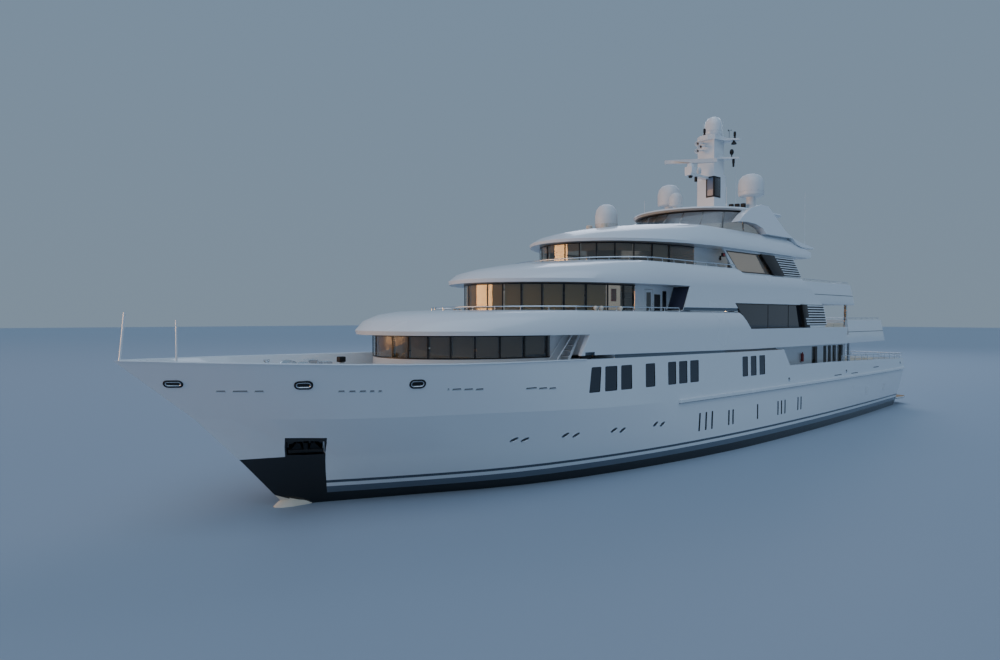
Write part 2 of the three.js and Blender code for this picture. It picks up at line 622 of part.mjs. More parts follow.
const dome = (r, h) => [
  [0, 0], [r * 0.9, 0], [r * 0.98, h * 0.05], [r, h * 0.12], [r, h * 0.55],
  [r * 0.9, h * 0.77], [r * 0.66, h * 0.92], [r * 0.34, h * 0.985], [0, h],
];

const mast = { foot: hardtopZ + 12 + gap, front: -395, top: 2090, domeX: -494 };
const scanner = { x: -206, bracket: 1795, pedestal: 66, half: 176, turn: 129, shaft: 8 };
const scannerSeat = scanner.bracket + scanner.pedestal;
const radarPedestal = cut(
  join(
    block(scanner.x - 28, scanner.x + 28, -28, 28, scanner.bracket - 5, scanner.bracket + 44),
    turned([[0, 38], [26, 38], [22, scanner.pedestal], [0, scanner.pedestal]], scanner.x, 0, scanner.bracket, 16),
  ),
  rod([[scanner.x, 0, scannerSeat - 24], [scanner.x, 0, scannerSeat + 5]], scanner.shaft + running, 16),
);
// the port half of each swept arm's outline, and of the platform under the dome
const upperArm = [[-370, 32], [-400, 74], [-462, 82], [-556, 170], [-582, 170], [-566, 70]];
const lowerArm = [[-440, 66], [-552, 170], [-576, 170], [-520, 66]];
const platform = [[-368, 30], [-398, 72], [-560, 72]];
const bothArms = (outline) => [...outline, ...outline.map(([x, y]) => [x, -y]).reverse()];
place('mast', join(
  block(-562, -377, -84, 84, mast.foot, 1550),
  block(-547, mast.front, -68, 68, 1540, 1815),
  block(-526, mast.front - 2, -66, 66, 1805, mast.top),
  block(mast.front - 20, -174, -24, 24, scanner.bracket - 17, scanner.bracket),
  planPlate(bothArms(lowerArm), 1922, 1934),
  planPlate(bothArms(upperArm), 2056, 2069),
  planPlate(bothArms(platform), 2064, mast.top),
  radarPedestal,
  turned([[0, -10], [30, -10], [30, 20], [0, 20]], mast.domeX, 0, mast.top),
  turned(dome(61, 134), mast.domeX, 0, mast.top + 18),
), whitePaint);

place('radar_scanner', join(
  block(-scanner.half, scanner.half, -13, 13, 4, 30),
  turned([[0, -20], [scanner.shaft, -20], [scanner.shaft, running], [14, running], [14, 6], [0, 6]], 0, 0, 0, 12),
).rotateZ(scanner.turn * Math.PI / 180).translate(scanner.x, 0, scannerSeat), domeWhite);

// foot is the deck that a dome's pedestal stands on
const pedestal = (r, low) => [[0, low], [r, low], [r * 0.7, low + 20], [r * 0.7, -8], [r * 1.1, 0], [0, 0]];
const onHardtop = hardtopZ + 12 + gap;
const domes = [
  { name: 'satellite_dome_port', x: -425, y: 333, z: 1612, r: 84, h: 152, leg: 44, foot: onHardtop },
  { name: 'satellite_dome_starboard', x: -425, y: -333, z: 1630, r: 84, h: 162, leg: 44, foot: onHardtop },
  { name: 'bow_dome', x: 690, y: 0, z: 1322, r: 68, h: 154, leg: 40, foot: shellThree.deck + gap },
  { name: 'small_dome', x: -320, y: -199, z: 1602, r: 48, h: 98, leg: 26, foot: onHardtop },
];
domes.forEach(({ name, x, y, z, r, h, leg, foot }) => {
  place(name, join(turned(dome(r, h), x, y, z), turned(pedestal(leg, foot - z), x, y, z + 0.5)), domeWhite);
});

// Bow staff, which leans aft, and the pole behind it
const staff = { foot: 3317, head: 3300, top: 800, radius: 4 };
const staffFoot = sheerAt(staff.foot + 5).z + gap;
place('jack_staff', cut(
  rod([[staff.foot + 2, 0, staffFoot - 20], [staff.head, 0, staff.top]], staff.radius),
  block(staff.foot - 30, staff.foot + 30, -20, 20, staffFoot - 40, staffFoot),
), whitePaint);
place('bow_light_pole', rod([[3130, 0, foredeckRise(3134) + gap], [3130, 0, 773]], 3.5), steel);

// Running gear: propellers on their shafts, rudders and stabiliser fins

const bladeOutline = [[-4, 8], [-24, 28], [-31, 58], [-18, 86], [3, 94], [23, 80], [27, 54], [17, 26], [4, 8]];
const propeller = (() => {
  const hubProfile = [[0, -36], [14, -32], [20, -10], [20, 24], [15, 34], [0, 34]];
  const hub = turned(hubProfile, 0, 0, 0, 14).rotateY(Math.PI / 2);
  const shaft = rod([[20, 0, 0], [shaftLine.fore - shaftLine.propX, 0, 0]], shaftLine.radius, 12);
  const blades = Array.from({ length: 5 }, (_, i) => planPlate(bladeOutline, -2.5, 2.5)
    .rotateY(0.5).rotateX((2 * Math.PI * i) / 5));
  return join(hub, shaft, ...blades).translate(shaftLine.propX, shaftLine.y, shaftLine.z);
})();
placePair('propeller', propeller, bronze);

const rudderSection = [
  [45, 0], [28, 9], [-10, 11], [-60, 6], [-95, 1.5], [-95, -1.5], [-60, -6], [-10, -11], [28, -9],
];
placePair('rudder', join(
  planPlate(rudderSection, rudder.foot, rudder.top).translate(rudder.x, rudder.y, 0),
  rod([[rudder.x, rudder.y, rudder.top - 20], [rudder.x, rudder.y, -70]], rudder.stock, 12),
), whitePaint);

const finSection = [[68, 0], [44, 8], [0, 9], [-44, 5], [-70, 1], [-70, -1], [-44, -5], [0, -9], [44, -8]];
placePair('stabiliser_fin', join(
  planPlate(finSection, -fin.root - fin.span, -fin.root),
  rod([[0, 0, -fin.root - 12], [0, 0, 24]], fin.stock, 12),
).rotateX(fin.lean).translate(fin.x, fin.y, fin.z), whitePaint);

// Stairs in each passage beside the main tier, climbing aft to the upper deck
const stairs = {
  foot: 1650, head: 1516, low: foredeckZ + gap, high: shellOne.lip - gap, y: 486, width: 56, treads: 7,
};
const stairRun = stairs.foot - stairs.head;
const stairRise = stairs.high - stairs.low;
const stringer = [[stairs.foot, stairs.low], [stairs.head, stairs.high], [stairs.head - 12, stairs.high],
  [stairs.foot - 24, stairs.low]];
placePair('side_stairs', join(
  sideProfile(stringer, stairs.y, stairs.y + 3),
  sideProfile(stringer, stairs.y + stairs.width - 3, stairs.y + stairs.width),
  ...Array.from({ length: stairs.treads }, (_, i) => {
    const share = (i + 1) / (stairs.treads + 1);
    const x = stairs.foot - 8 - share * stairRun;
    const z = stairs.low + share * stairRise;
    return block(x - 11, x + 11, stairs.y + 1, stairs.y + stairs.width - 1, z - 2, z + 1.5);
  }),
), whitePaint);

// Doors: the tender garage's flap in the transom, and a hinged door on each side of the upper tier

place('transom_door', block(
  transomX, transomX + 10, -garage.half + garage.gap, garage.half - garage.gap,
  garage.foot + garage.hinge, garage.top - garage.gap,
), whitePaint);
placePair('side_door', block(
  sideDoor.aft + sideDoor.gap, sideDoor.fore - sideDoor.hinge, houseTwo.half - 8, houseTwo.half,
  sideDoor.foot + sideDoor.gap, sideDoor.top - sideDoor.gap,
), whitePaint);

// Foredeck gear on one base: two windlasses, their bollards ahead and their gearboxes behind
const gear = { aft: 2545, fore: 2770, half: 150, drum: 2665, bollard: 2743, box: 2571 };
const gearBase = foredeckRise(gear.fore) + 8;
place('foredeck_gear', join(
  sideProfile([
    [gear.aft, foredeckRise(gear.aft) + gap], [gear.fore, foredeckRise(gear.fore) + gap],
    [gear.fore, gearBase], [gear.aft, gearBase],
  ], -gear.half, gear.half),
  ...[-80, 80].map((y) => rod([[gear.drum, y - 34, 573], [gear.drum, y + 34, 573]], 26, 12)),
  ...[-80, 80].map((y) => block(gear.drum - 30, gear.drum + 30, y - 16, y + 16, gearBase - 4, 576)),
  ...[-130, 130].map((y) => turned([[0, 0], [10, 0], [10, 58], [14, 62], [14, 68], [0, 68]],
    gear.bollard, y, gearBase - 6, 10)),
  ...[-70, 70].map((y) => block(gear.box - 22, gear.box + 22, y - 28, y + 28, gearBase - 4, 598)),
), steel);

export default ship;
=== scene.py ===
# Looks of a motor yacht at one tenth of its size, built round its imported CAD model.
# +X is the bow, +Y port, +Z up, and the origin is on the centreline at the waterline.
# Added shapes are made in millimetres, and add turns them to metres.
import json
import math

import bmesh
import bpy
from mathutils import Matrix, Vector
from mathutils.bvhtree import BVHTree
from mathutils.geometry import barycentric_transform

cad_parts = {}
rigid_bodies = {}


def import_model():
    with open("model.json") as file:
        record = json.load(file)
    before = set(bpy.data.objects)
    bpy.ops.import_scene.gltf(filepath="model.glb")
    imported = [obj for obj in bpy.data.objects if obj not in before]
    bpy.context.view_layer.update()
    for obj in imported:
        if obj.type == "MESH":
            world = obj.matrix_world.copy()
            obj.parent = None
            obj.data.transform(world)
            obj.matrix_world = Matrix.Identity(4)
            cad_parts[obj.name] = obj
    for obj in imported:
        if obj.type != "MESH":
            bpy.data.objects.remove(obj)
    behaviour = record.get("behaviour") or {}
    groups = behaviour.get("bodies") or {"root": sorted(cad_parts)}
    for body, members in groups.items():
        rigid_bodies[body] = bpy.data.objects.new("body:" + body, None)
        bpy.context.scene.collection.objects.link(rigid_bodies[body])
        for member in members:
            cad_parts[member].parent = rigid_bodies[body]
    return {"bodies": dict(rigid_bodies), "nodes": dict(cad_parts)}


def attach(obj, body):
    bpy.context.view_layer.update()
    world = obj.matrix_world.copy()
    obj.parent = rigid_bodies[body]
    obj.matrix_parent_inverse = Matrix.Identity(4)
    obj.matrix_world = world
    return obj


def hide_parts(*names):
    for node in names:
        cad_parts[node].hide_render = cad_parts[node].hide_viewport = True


mm = 0.001
ship = "yacht"
sides = (("port", 1), ("starboard", -1))
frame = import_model()
nodes = frame["nodes"]
movers = set(frame["bodies"]) - {ship}
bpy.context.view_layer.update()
print("frame loaded:", len(nodes), "nodes")


# Materials

def toLinear(code):
    values = []
    for start in (0, 2, 4):
        part = int(code[start:start + 2], 16) / 255
        values.append(part / 12.92 if part <= 0.04045 else ((part + 0.055) / 1.055) ** 2.4)
    return (*values, 1.0)


# Adds a node. Names in lower case are its attributes, other names and numbers its inputs.
def addNode(tree, kind, settings=None, links=None):
    node = tree.nodes.new(kind)
    for name, value in (settings or {}).items():
        if isinstance(name, str) and name[0].islower():
            setattr(node, name, value)
        else:
            node.inputs[name].default_value = value
    for name, source in (links or {}).items():
        tree.links.new(source, node.inputs[name])
    return node


# Gives a colour ramp its stops, each a place and a linear colour.
def setStops(node, stops, interpolation="LINEAR"):
    ramp = node.color_ramp
    ramp.interpolation = interpolation
    while len(ramp.elements) < len(stops):
        ramp.elements.new(0.5)
    for element, (place, colour) in zip(ramp.elements, stops):
        element.position = place
        element.color = colour


# A surface whose gloss, height and tone vary over a noise. Grain and relief are in millimetres.
def newSurface(name, colour, roughness, values=None, spread=0.0, grain=200, relief=0.0, tone=0.0):
    material = bpy.data.materials.new(name)
    material.use_nodes = True
    tree = material.node_tree
    tree.nodes.clear()
    output = addNode(tree, "ShaderNodeOutputMaterial")
    settings = {"Base Color": toLinear(colour), "Roughness": roughness, **(values or {})}
    surface = addNode(tree, "ShaderNodeBsdfPrincipled", settings)
    tree.links.new(surface.outputs["BSDF"], output.inputs["Surface"])
    if not (spread or relief or tone):
        return material
    where = addNode(tree, "ShaderNodeTexCoord").outputs["Object"]
    scale = 1 / (grain * mm)
    place = addNode(tree, "ShaderNodeMapping", {"Scale": (scale, scale, scale)}, {"Vector": where})
    settings = {"Scale": 1.0, "Detail": 3.0, "Roughness": 0.5}
    noise = addNode(tree, "ShaderNodeTexNoise", settings, {"Vector": place.outputs["Vector"]}).outputs["Fac"]
    if spread:
        least, most = roughness - spread, roughness + spread
        settings = {"From Min": 0.3, "From Max": 0.7, "To Min": least, "To Max": most}
        gloss = addNode(tree, "ShaderNodeMapRange", settings, {"Value": noise})
        tree.links.new(gloss.outputs["Result"], surface.inputs["Roughness"])
    if relief:
        bump = addNode(tree, "ShaderNodeBump", {"Strength": 1.0, "Distance": relief * mm}, {"Height": noise})
        tree.links.new(bump.outputs["Normal"], surface.inputs["Normal"])
    if tone:
        ramp = addNode(tree, "ShaderNodeValToRGB", links={"Fac": noise})
        shade = toLinear(colour)[:3]
        dark = [c * (1 - tone) for c in shade] + [1]
        light = [min(1, c * (1 + tone)) for c in shade] + [1]
        setStops(ramp, [(0.35, dark), (0.65, light)])
        tree.links.new(ramp.outputs["Color"], surface.inputs["Base Color"])
    return material


# a painted glow: emission standing in for light shining through cloth, which is no lamp
def paintedGlow(code, strength):
    return {"Sheen Weight": 0.3, "Emission Color": toLinear(code), "Emission Strength": strength}


coated = {"Coat Weight": 0.5, "Coat Roughness": 0.04, "Coat IOR": 1.5, "IOR": 1.5}
sheer = {"IOR": 1.7, "Transmission Weight": 1.0}
lens = {"IOR": 1.5, "Coat Weight": 0.5}
metal = {"Metallic": 1.0}
plain = {"IOR": 1.5}
woven = {"Sheen Weight": 0.2}
lined = {"Sheen Weight": 0.3}

# sprayed white polyurethane topcoat over faired filler
white = newSurface("white_polyurethane_topcoat", "E9EDF0", 0.24, coated, 0.04, 500, 0.05)
# the same topcoat on the hull, with its boot stripes and the antifouling below, by height in metres
hullPaint = newSurface("hull_topcoat_with_stripes", "E9EDF0", 0.22, coated, 0.04, 600, 0.05)
hullStripes = [
    (-0.40, "14171C"), (0.045, "5F6B78"), (0.072, "E4E8EB"), (0.089, "47525E"), (0.103, "E9EDF0"),
]
hullFoot, hullHead = -0.40, 0.65
hullTree = hullPaint.node_tree
where = addNode(hullTree, "ShaderNodeTexCoord").outputs["Object"]
axes = addNode(hullTree, "ShaderNodeSeparateXYZ", links={"Vector": where})
settings = {"From Min": hullFoot, "From Max": hullHead}
height = addNode(hullTree, "ShaderNodeMapRange", settings, {"Value": axes.outputs["Z"]})
bands = addNode(hullTree, "ShaderNodeValToRGB", links={"Fac": height.outputs["Result"]})
stops = [((level - hullFoot) / (hullHead - hullFoot), toLinear(colour)) for level, colour in hullStripes]
setStops(bands, stops, "CONSTANT")
hullTree.links.new(bands.outputs["Color"], hullTree.nodes["Principled BSDF"].inputs["Base Color"])

# polished black guard plate at the bow
blackPlate = newSurface("polished_black_guard_plate", "0A0C0F", 0.16, {"Coat Weight": 0.6}, 0.05, 80)
# dark privacy glass, seen as a mirror over a dark room
darkGlass = newSurface("dark_privacy_glass", "1B1D24", 0.05, {"IOR": 1.7, "Coat Weight": 0.6}, 0.01, 300)
# brown tinted window glass
tintedGlass = newSurface("brown_tinted_glass", "EADFCE", 0.02, sheer)
# paler smoked glass of the sun deck's screen and the third tier's side window
smokedGlass = newSurface("smoked_glass", "DDD3C8", 0.02, {**sheer, "IOR": 1.52})
# woven screens of roller blinds
meshCloth = newSurface("grey_brown_screen_cloth", "A79D8C", 0.9, woven, 0.03, 4, 0.05)
blindCloth = newSurface("pale_yellow_blind_cloth", "D8C48F", 0.85, woven, 0.03, 4, 0.05)
# a woven curtain with a painted glow, standing in for light from behind it
greenPaintedGlow = {**paintedGlow("C6CE92", 0.16), **woven}
greenGlowCloth = newSurface("yellow_green_curtain_cloth_with_painted_glow", "C6CE92", 0.85, greenPaintedGlow, 0.03, 4, 0.05)
# lined curtains, and the same with a painted glow standing in for a cabin's lamps behind them
curtainCloth = newSurface("ivory_curtain_cloth", "CFC4B4", 0.85, lined, 0.03, 20, 0.1)
lampGlowCloth = newSurface("ivory_curtain_cloth_with_painted_lamplight", "CFC4B4", 0.85, paintedGlow("BFC9D2", 0.3), 0.03, 20, 0.1)
# violet tinted glass at the end of the upper walk
violetGlass = newSurface("violet_tinted_glass", "3C3B4E", 0.25, {"IOR": 1.52, "Coat Weight": 0.3}, 0.02, 200)
# powder coated aluminium window frame
darkFrame = newSurface("dark_bronze_window_frame", "2B2623", 0.35, plain, 0.04, 50)
# moulded rubber gasket, and painted shade: the same black put in openings and recesses that are only in
# shadow
rubberAndShade = newSurface("black_rubber_and_painted_shade", "111214", 0.6, None, 0.05, 20)
# painted shade: the white topcoat in grey inside the shadow gaps of the shells
gapShadeGrey = newSurface("grey_painted_shade_in_gaps", "66727D", 0.4, plain, 0.04, 200)
# cream topcoat of the bulb's nose and the deck lamps
bulbCream = newSurface("cream_bulb_paint", "E3D6C2", 0.35, plain, 0.05, 100)
# hot dip galvanised steel under black paint
anchorBlack = newSurface("black_painted_anchor_steel", "1B1D20", 0.4, {"Metallic": 0.4}, 0.08, 20, 0.05)
# back-painted glass panel on the mast
paneGrey = newSurface("grey_backed_glass_panel", "64748A", 0.4, {"IOR": 1.52, "Coat Weight": 0.4}, 0.02, 100)
# mirror polished 316 stainless steel
steel = newSurface("polished_stainless_steel", "DDE1E5", 0.2, metal, 0.04, 30)
# cast nickel aluminium bronze
castBronze = newSurface("cast_bronze", "B08D4F", 0.3, metal, 0.08, 30, 0.05)
# satin gelcoat on glass fibre radomes
domeShell = newSurface("satin_radome_gelcoat", "DFE2E4", 0.42, plain, 0.05, 50, 0.02)
# vinyl antifouling paint, rolled
antifouling = newSurface("rolled_antifouling_paint", "23262E", 0.7, None, 0.08, 20, 0.1, 0.1)
# lamp glass and its coloured filters
clearLens = newSurface("clear_lamp_lens", "E8EEF2", 0.05, lens)
redLens = newSurface("red_lamp_lens", "A8161B", 0.08, lens)
greenLens = newSurface("green_lamp_lens", "137A3C", 0.08, lens)
# outdoor cushion cloth
cushion = newSurface("ivory_outdoor_cushion_cloth", "D9D3C5", 0.85, lined, 0.03, 10, 0.1)
# dark woven rattan of the deck chairs
rattan = newSurface("dark_woven_rattan", "3A2E27", 0.6, None, 0.08, 4, 0.2, 0.2)
# red lacquer of the safety gear
lacquer = newSurface("red_lacquer", "8E1F22", 0.3, {"Coat Weight": 0.4}, 0.04, 50)
# varnished mahogany of the tables
mahogany = newSurface("varnished_mahogany", "8A5A33", 0.2, {"Coat Weight": 0.6}, 0.05, 30, 0.0, 0.15)

# laid teak: planks along the ship, 7 mm wide at this scale, with dark caulked seams
teakDeck = newSurface("laid_teak_deck", "A9835A", 0.65, {"IOR": 1.45})
teakTree = teakDeck.node_tree
where = addNode(teakTree, "ShaderNodeTexCoord").outputs["Object"]
planks = addNode(
    teakTree, "ShaderNodeTexBrick",
    {
        "Scale": 1.0, "Brick Width": 240 * mm, "Row Height": 7 * mm, "Mortar Size": 0.35 * mm,
        "Mortar Smooth": 0.1, "Bias": 0.0, "Color1": toLinear("B08A60"), "Color2": toLinear("9A754D"),
        "Mortar": toLinear("2A2420"),
    },
    {"Vector": where},
)
teakTree.links.new(planks.outputs["Color"], teakTree.nodes["Principled BSDF"].inputs["Base Color"])
print("materials made")


# Shapes

# an edge is sharp past these degrees, on a skin or on an added piece
sharpSkin, sharpPiece = 30, 35
# vertices nearer than this, in metres, are one
merged = {"part": 1e-6, "node": 2e-6}


def circle(count):
    return [(math.cos(a), math.sin(a)) for a in (2 * math.pi * k / count for k in range(count))]


def loft(loops, around=True, along=False, capped=False):
    bm = bmesh.new()
    rows = [[bm.verts.new(point) for point in loop] for loop in loops]
    count = len(rows[0])
    for i in range(len(rows) if along else len(rows) - 1):
        low = rows[i]
        high = rows[(i + 1) % len(rows)]
        for j in range(count if around else count - 1):
            k = (j + 1) % count
            bm.faces.new((low[j], low[k], high[k], high[j]))
    if capped:
        bm.faces.new(rows[0][::-1])
        bm.faces.new(rows[-1])
    return bm


# the radius is one number, or one for each point
def tube(points, radius, around=10, closed=False):
    points = [Vector(point) for point in points]
    count = len(points)
    loops = []
    normal = None
    for i, point in enumerate(points):
        before = points[i - 1] if i or closed else point
        after = points[(i + 1) % count] if i < count - 1 or closed else point
        tangent = ((after - point).normalized() + (point - before).normalized()).normalized()
        if normal is None:
            normal = tangent.orthogonal()
        normal = (normal - tangent * normal.dot(tangent)).normalized()
        other = tangent.cross(normal)
        size = radius[i] if isinstance(radius, list) else radius
        loops.append([point + (normal * c + other * s) * size for c, s in circle(around)])
    return loft(loops, along=closed, capped=not closed)


def sharpEdges(bm, degrees):
    limit = math.radians(degrees)
    return [edge for edge in bm.edges if len(edge.link_faces) == 2 and edge.calc_face_angle(0) > limit]


def softened(bm, bevel, segments=2):
    if bevel:
        edges = sharpEdges(bm, sharpSkin)
        bmesh.ops.bevel(
            bm, geom=edges, offset=bevel, segments=segments, profile=0.5, affect="EDGES", material=-1,
            clamp_overlap=True,
        )
    return bm


def block(low, high, bevel=1.5, segments=3):
    bm = bmesh.new()
    low = Vector(low)
    high = Vector(high)
    bmesh.ops.create_cube(bm, size=1)
    bmesh.ops.scale(bm, vec=high - low, verts=bm.verts)
    bmesh.ops.translate(bm, vec=(high + low) / 2, verts=bm.verts)
    return softened(bm, bevel, segments)


def prism(outline, depth, bevel=0.0):
    far = [Vector(point) + Vector(depth) for point in outline]
    bm = loft([outline, far], capped=True)
    bmesh.ops.recalc_face_normals(bm, faces=bm.faces)
    return softened(bm, bevel)


# a prism along Y on an outline of x and z
def plate(outline, y, depth, bevel=0.0):
    return prism([(x, y, z) for x, z in outline], (0, depth, 0), bevel)


# a prism along w on an outline of u and v, sunk by 1 mm
def lid(outline, depth):
    return prism([(u, v, -1) for u, v in outline], (0, 0, depth))


# a profile of (radius, height) turned round Z
def turned(profile, centre=(0, 0, 0), steps=20, along=False):
    centre = Vector(centre)
    loops = [[centre + Vector((r * c, r * s, level)) for c, s in circle(steps)] for r, level in profile]
    return loft(loops, along=along)


# the curve that cuts a corner, from one reach before it to another after it
def cornerCurve(before, corner, after, reachIn, reachOut, steps):
    first = corner + (before - corner).normalized() * reachIn
    last = corner + (after - corner).normalized() * reachOut
    shares = [i / steps for i in range(steps + 1)]
    return [first.lerp(corner, t).lerp(corner.lerp(last, t), t) for t in shares]


# a path with rounded corners, for bent tubes
def bent(points, radius, steps=5):
    points = [Vector(point) for point in points]
    path = [points[0]]
    for before, corner, after in zip(points, points[1:], points[2:]):
        reaches = [min(radius, (end - corner).length / 2) for end in (before, after)]
        path += cornerCurve(before, corner, after, *reaches, steps)
    return path + [points[-1]]


# Flat outlines, as lists of pairs

def rectangle(u0, v0, u1, v1):
    return [(u0, v0), (u1, v0), (u1, v1), (u0, v1)]


def roundedOutline(points, radius):
    points = [Vector(point) for point in points]
    outline = []
    for before, corner, after in zip(points[-1:] + points, points, points[1:] + points[:1]):
        outline += cornerCurve(before, corner, after, radius, radius, 4)
    return outline


def insetOutline(points, distance):
    points = [Vector(point) for point in points]
    area = sum(a.x * b.y - b.x * a.y for a, b in zip(points[-1:] + points, points))
    turn = 1 if area > 0 else -1
    moved = []
    for last, point, following in zip(points[-1:] + points, points, points[1:] + points[:1]):
        before = (point - last).normalized()
        after = (following - point).normalized()
        inwards = Vector((-before.y, before.x)) + Vector((-after.y, after.x))
        size = inwards.dot(Vector((-before.y, before.x)))
        moved.append(point + inwards * (turn * distance / max(size, 0.2)))
    return moved


def stadium(length, height, steps=8):
    radius = height / 2
    reach = length / 2 - radius
    outline = []
    for side in (1, -1):
        for i in range(steps + 1):
            angle = math.pi * (i / steps - 0.5)
            outline.append((side * (reach + radius * math.cos(angle)), side * radius * math.sin(angle)))
    return outline


def ellipse(length, height):
    return [(length / 2 * c, height / 2 * s) for c, s in circle(24)]


# a closed rim through flat outlines, each with its level
def rimmed(outlines):
    return loft([[(u, v, level) for u, v in outline] for outline, level in outlines], along=True)


# a rim along Y round two outlines of x and z, open in the middle
def ringPlate(outer, inner, back, front):
    rings = [(outer, back), (outer, front), (inner, front), (inner, back)]
    return loft([[(x, y, z) for x, z in outline] for outline, y in rings], along=True)


# Pieces

def newPiece():
    return {"bm": bmesh.new(), "finishes": []}


# Adds a part in one finish. A pair is mirrored to starboard too.
def add(piece, part, finish, pair=False, place=Matrix()):
    bmesh.ops.transform(part, matrix=Matrix.Scale(mm, 4) @ place, verts=part.verts)
    bmesh.ops.remove_doubles(part, verts=part.verts, dist=merged["part"])
    bmesh.ops.recalc_face_normals(part, faces=part.faces)
    if finish not in piece["finishes"]:
        piece["finishes"].append(finish)
    for face in part.faces:
        face.material_index = piece["finishes"].index(finish)
        face.smooth = True
    mesh = bpy.data.meshes.new("part")
    part.to_mesh(mesh)
    part.free()
    piece["bm"].from_mesh(mesh)
    if pair:
        mesh.transform(Matrix.Scale(-1, 4, (0, 1, 0)))
        mesh.flip_normals()
        piece["bm"].from_mesh(mesh)
    bpy.data.meshes.remove(mesh)


def shown(bm, name, finishes, body, replaced=()):
    mesh = bpy.data.meshes.new(name)
    bm.to_mesh(mesh)
    bm.free()
    for finish in finishes:
        mesh.materials.append(finish)
    thing = bpy.data.objects.new(name, mesh)
    bpy.context.scene.collection.objects.link(thing)
    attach(thing, body)
    if replaced:
        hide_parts(*replaced)
    return thing


def finished(piece, name, body=ship):
    for edge in sharpEdges(piece["bm"], sharpPiece):
        edge.smooth = False
    return shown(piece["bm"], name, piece["finishes"], body)


def meshOf(node):
    bm = bmesh.new()
    bm.from_mesh(nodes[node].data)
    bmesh.ops.remove_doubles(bm, verts=bm.verts, dist=merged["node"])
    return bm


def dissolve(bm, degrees):
    limit = math.radians(degrees)
    bmesh.ops.dissolve_limit(
        bm, angle_limit=limit, use_dissolve_boundaries=False, verts=bm.verts, edges=bm.edges)


# A node's own shape, cleaned, smoothed and with its edges rounded by a bevel in millimetres.
def skin(node, finishes, bevel=0.8, segments=2, prepare=None, flatten=True):
    bm = meshOf(node)
    if flatten:
        dissolve(bm, 0.3)
    large = [face for face in bm.faces if len(face.verts) > 4]
    bmesh.ops.triangulate(bm, faces=large, quad_method="BEAUTY", ngon_method="BEAUTY")
    for face in bm.faces:
        face.smooth = True
        face.material_index = 0
    if prepare:
        prepare(bm)
    bmesh.ops.recalc_face_normals(bm, faces=bm.faces)
    for edge in sharpEdges(bm, sharpSkin):
        edge.smooth = False
    thing = shown(bm, node + ".skin", finishes, node if node in movers else ship, (node,))
    if bevel:
        rounding = thing.modifiers.new("rounded edges", "BEVEL")
        rounding.width = bevel * mm
        rounding.segments = segments
        rounding.limit_method = "ANGLE"
        rounding.angle_limit = math.radians(sharpSkin)
        rounding.harden_normals = True
        rounding.use_clamp_overlap = False
    return thing


# gives a node's second finish to chosen faces
def marking(chosen):
    def mark(bm):
        bm.normal_update()
        for face in bm.faces:
            if chosen(face.calc_center_median(), face.normal):
                face.material_index = 1
    return mark


# Casting on the CAD shapes in millimetres, to seat pieces on them

trees = {}


def hit(node, start, towards):
    if node not in trees:
        mesh = nodes[node].data
        trees[node] = BVHTree.FromPolygons(
            [vertex.co for vertex in mesh.vertices], [polygon.vertices for polygon in mesh.polygons])
    point, normal, _, _ = trees[node].ray_cast(Vector(start) * mm, Vector(towards))
    return None if point is None else point / mm, normal


def sideAt(x, z):
    return hit("hull", (x, 2000, z), (0, -1, 0))


# a place on the hull's port side, moved outwards
def hullPoint(x, z, outwards=0.0):
    return sideAt(x, z)[0] + Vector((0, outwards, 0))


# a frame on the hull's port side: u forward and level along the side, v up it, w outwards
def onSide(x, z, degrees=0.0):
    point, normal = sideAt(x, z)
    forward = Vector((normal.y, -normal.x, 0)).normalized()
    upward = forward.cross(normal)
    basis = Matrix((forward, upward, normal)).transposed().to_4x4()
    basis.translation = point
    return basis @ Matrix.Rotation(math.radians(degrees), 4, "Z")


def atPlace(x, y, z, degrees=0.0, axis="Z"):
    return Matrix.Translation((x, y, z)) @ Matrix.Rotation(math.radians(degrees), 4, axis)


# Hull. The lists of windows give the port side, and lengths are in millimetres.

hullLook = {
    "pocketDepth": 4, "cutReach": 30, "paneDepth": 2.5, "frameHeight": 1.6, "slimWidth": 20,
    "tall": (549, 429), "wideWindow": {"corner": 7, "gasket": 2, "inner": 6},
    "slimWindow": {"corner": 5, "gasket": 1.2, "inner": 4},
    "bulb": {"from": 2660, "z": -18, "radius": 54}, "plateFrom": 2450, "bowFrom": 2300,
    "knuckle": {"from": 0.82, "low": 0.334, "high": 0.397},
}
highEdge, lowEdge = hullLook["tall"]
tallSpans = [
    (1394, 1309), (1282, 1200), (1094, 1017), (907, 836), (810, 734), (707, 626), (166, 103), (69, 1),
    (-35, -105),
]
slimWindows = [
    (611, 152, 254), (549, 152, 254), (489, 152, 254), (316, 156, 244), (271, 156, 244), (-11, 158, 251),
    (-272, 158, 248), (-320, 158, 248), (-368, 158, 248), (-554, 163, 251), (-600, 163, 251),
]
hullWindows = [
    [(1486, highEdge), (1420, highEdge), (1427, lowEdge), (1500, lowEdge)],
    *[rectangle(fore, highEdge, after, lowEdge) for fore, after in tallSpans],
    *[rectangle(x - 8, high, x + 8, low) for x, low, high in slimWindows],
]
plateOutline = [(2920, 215), (2753, 221), (2774, 307), (2635, 302), (2561, -7), (2548, -60), (2920, -60)]
hullFinishes = [hullPaint, blackPlate, rubberAndShade, bulbCream]


def inside(x, z, outline):
    within = False
    for (x0, z0), (x1, z1) in zip(outline, outline[1:] + outline[:1]):
        if (z0 > z) != (z1 > z) and x < (x1 - x0) * (z - z0) / (z1 - z0) + x0:
            within = not within
    return within


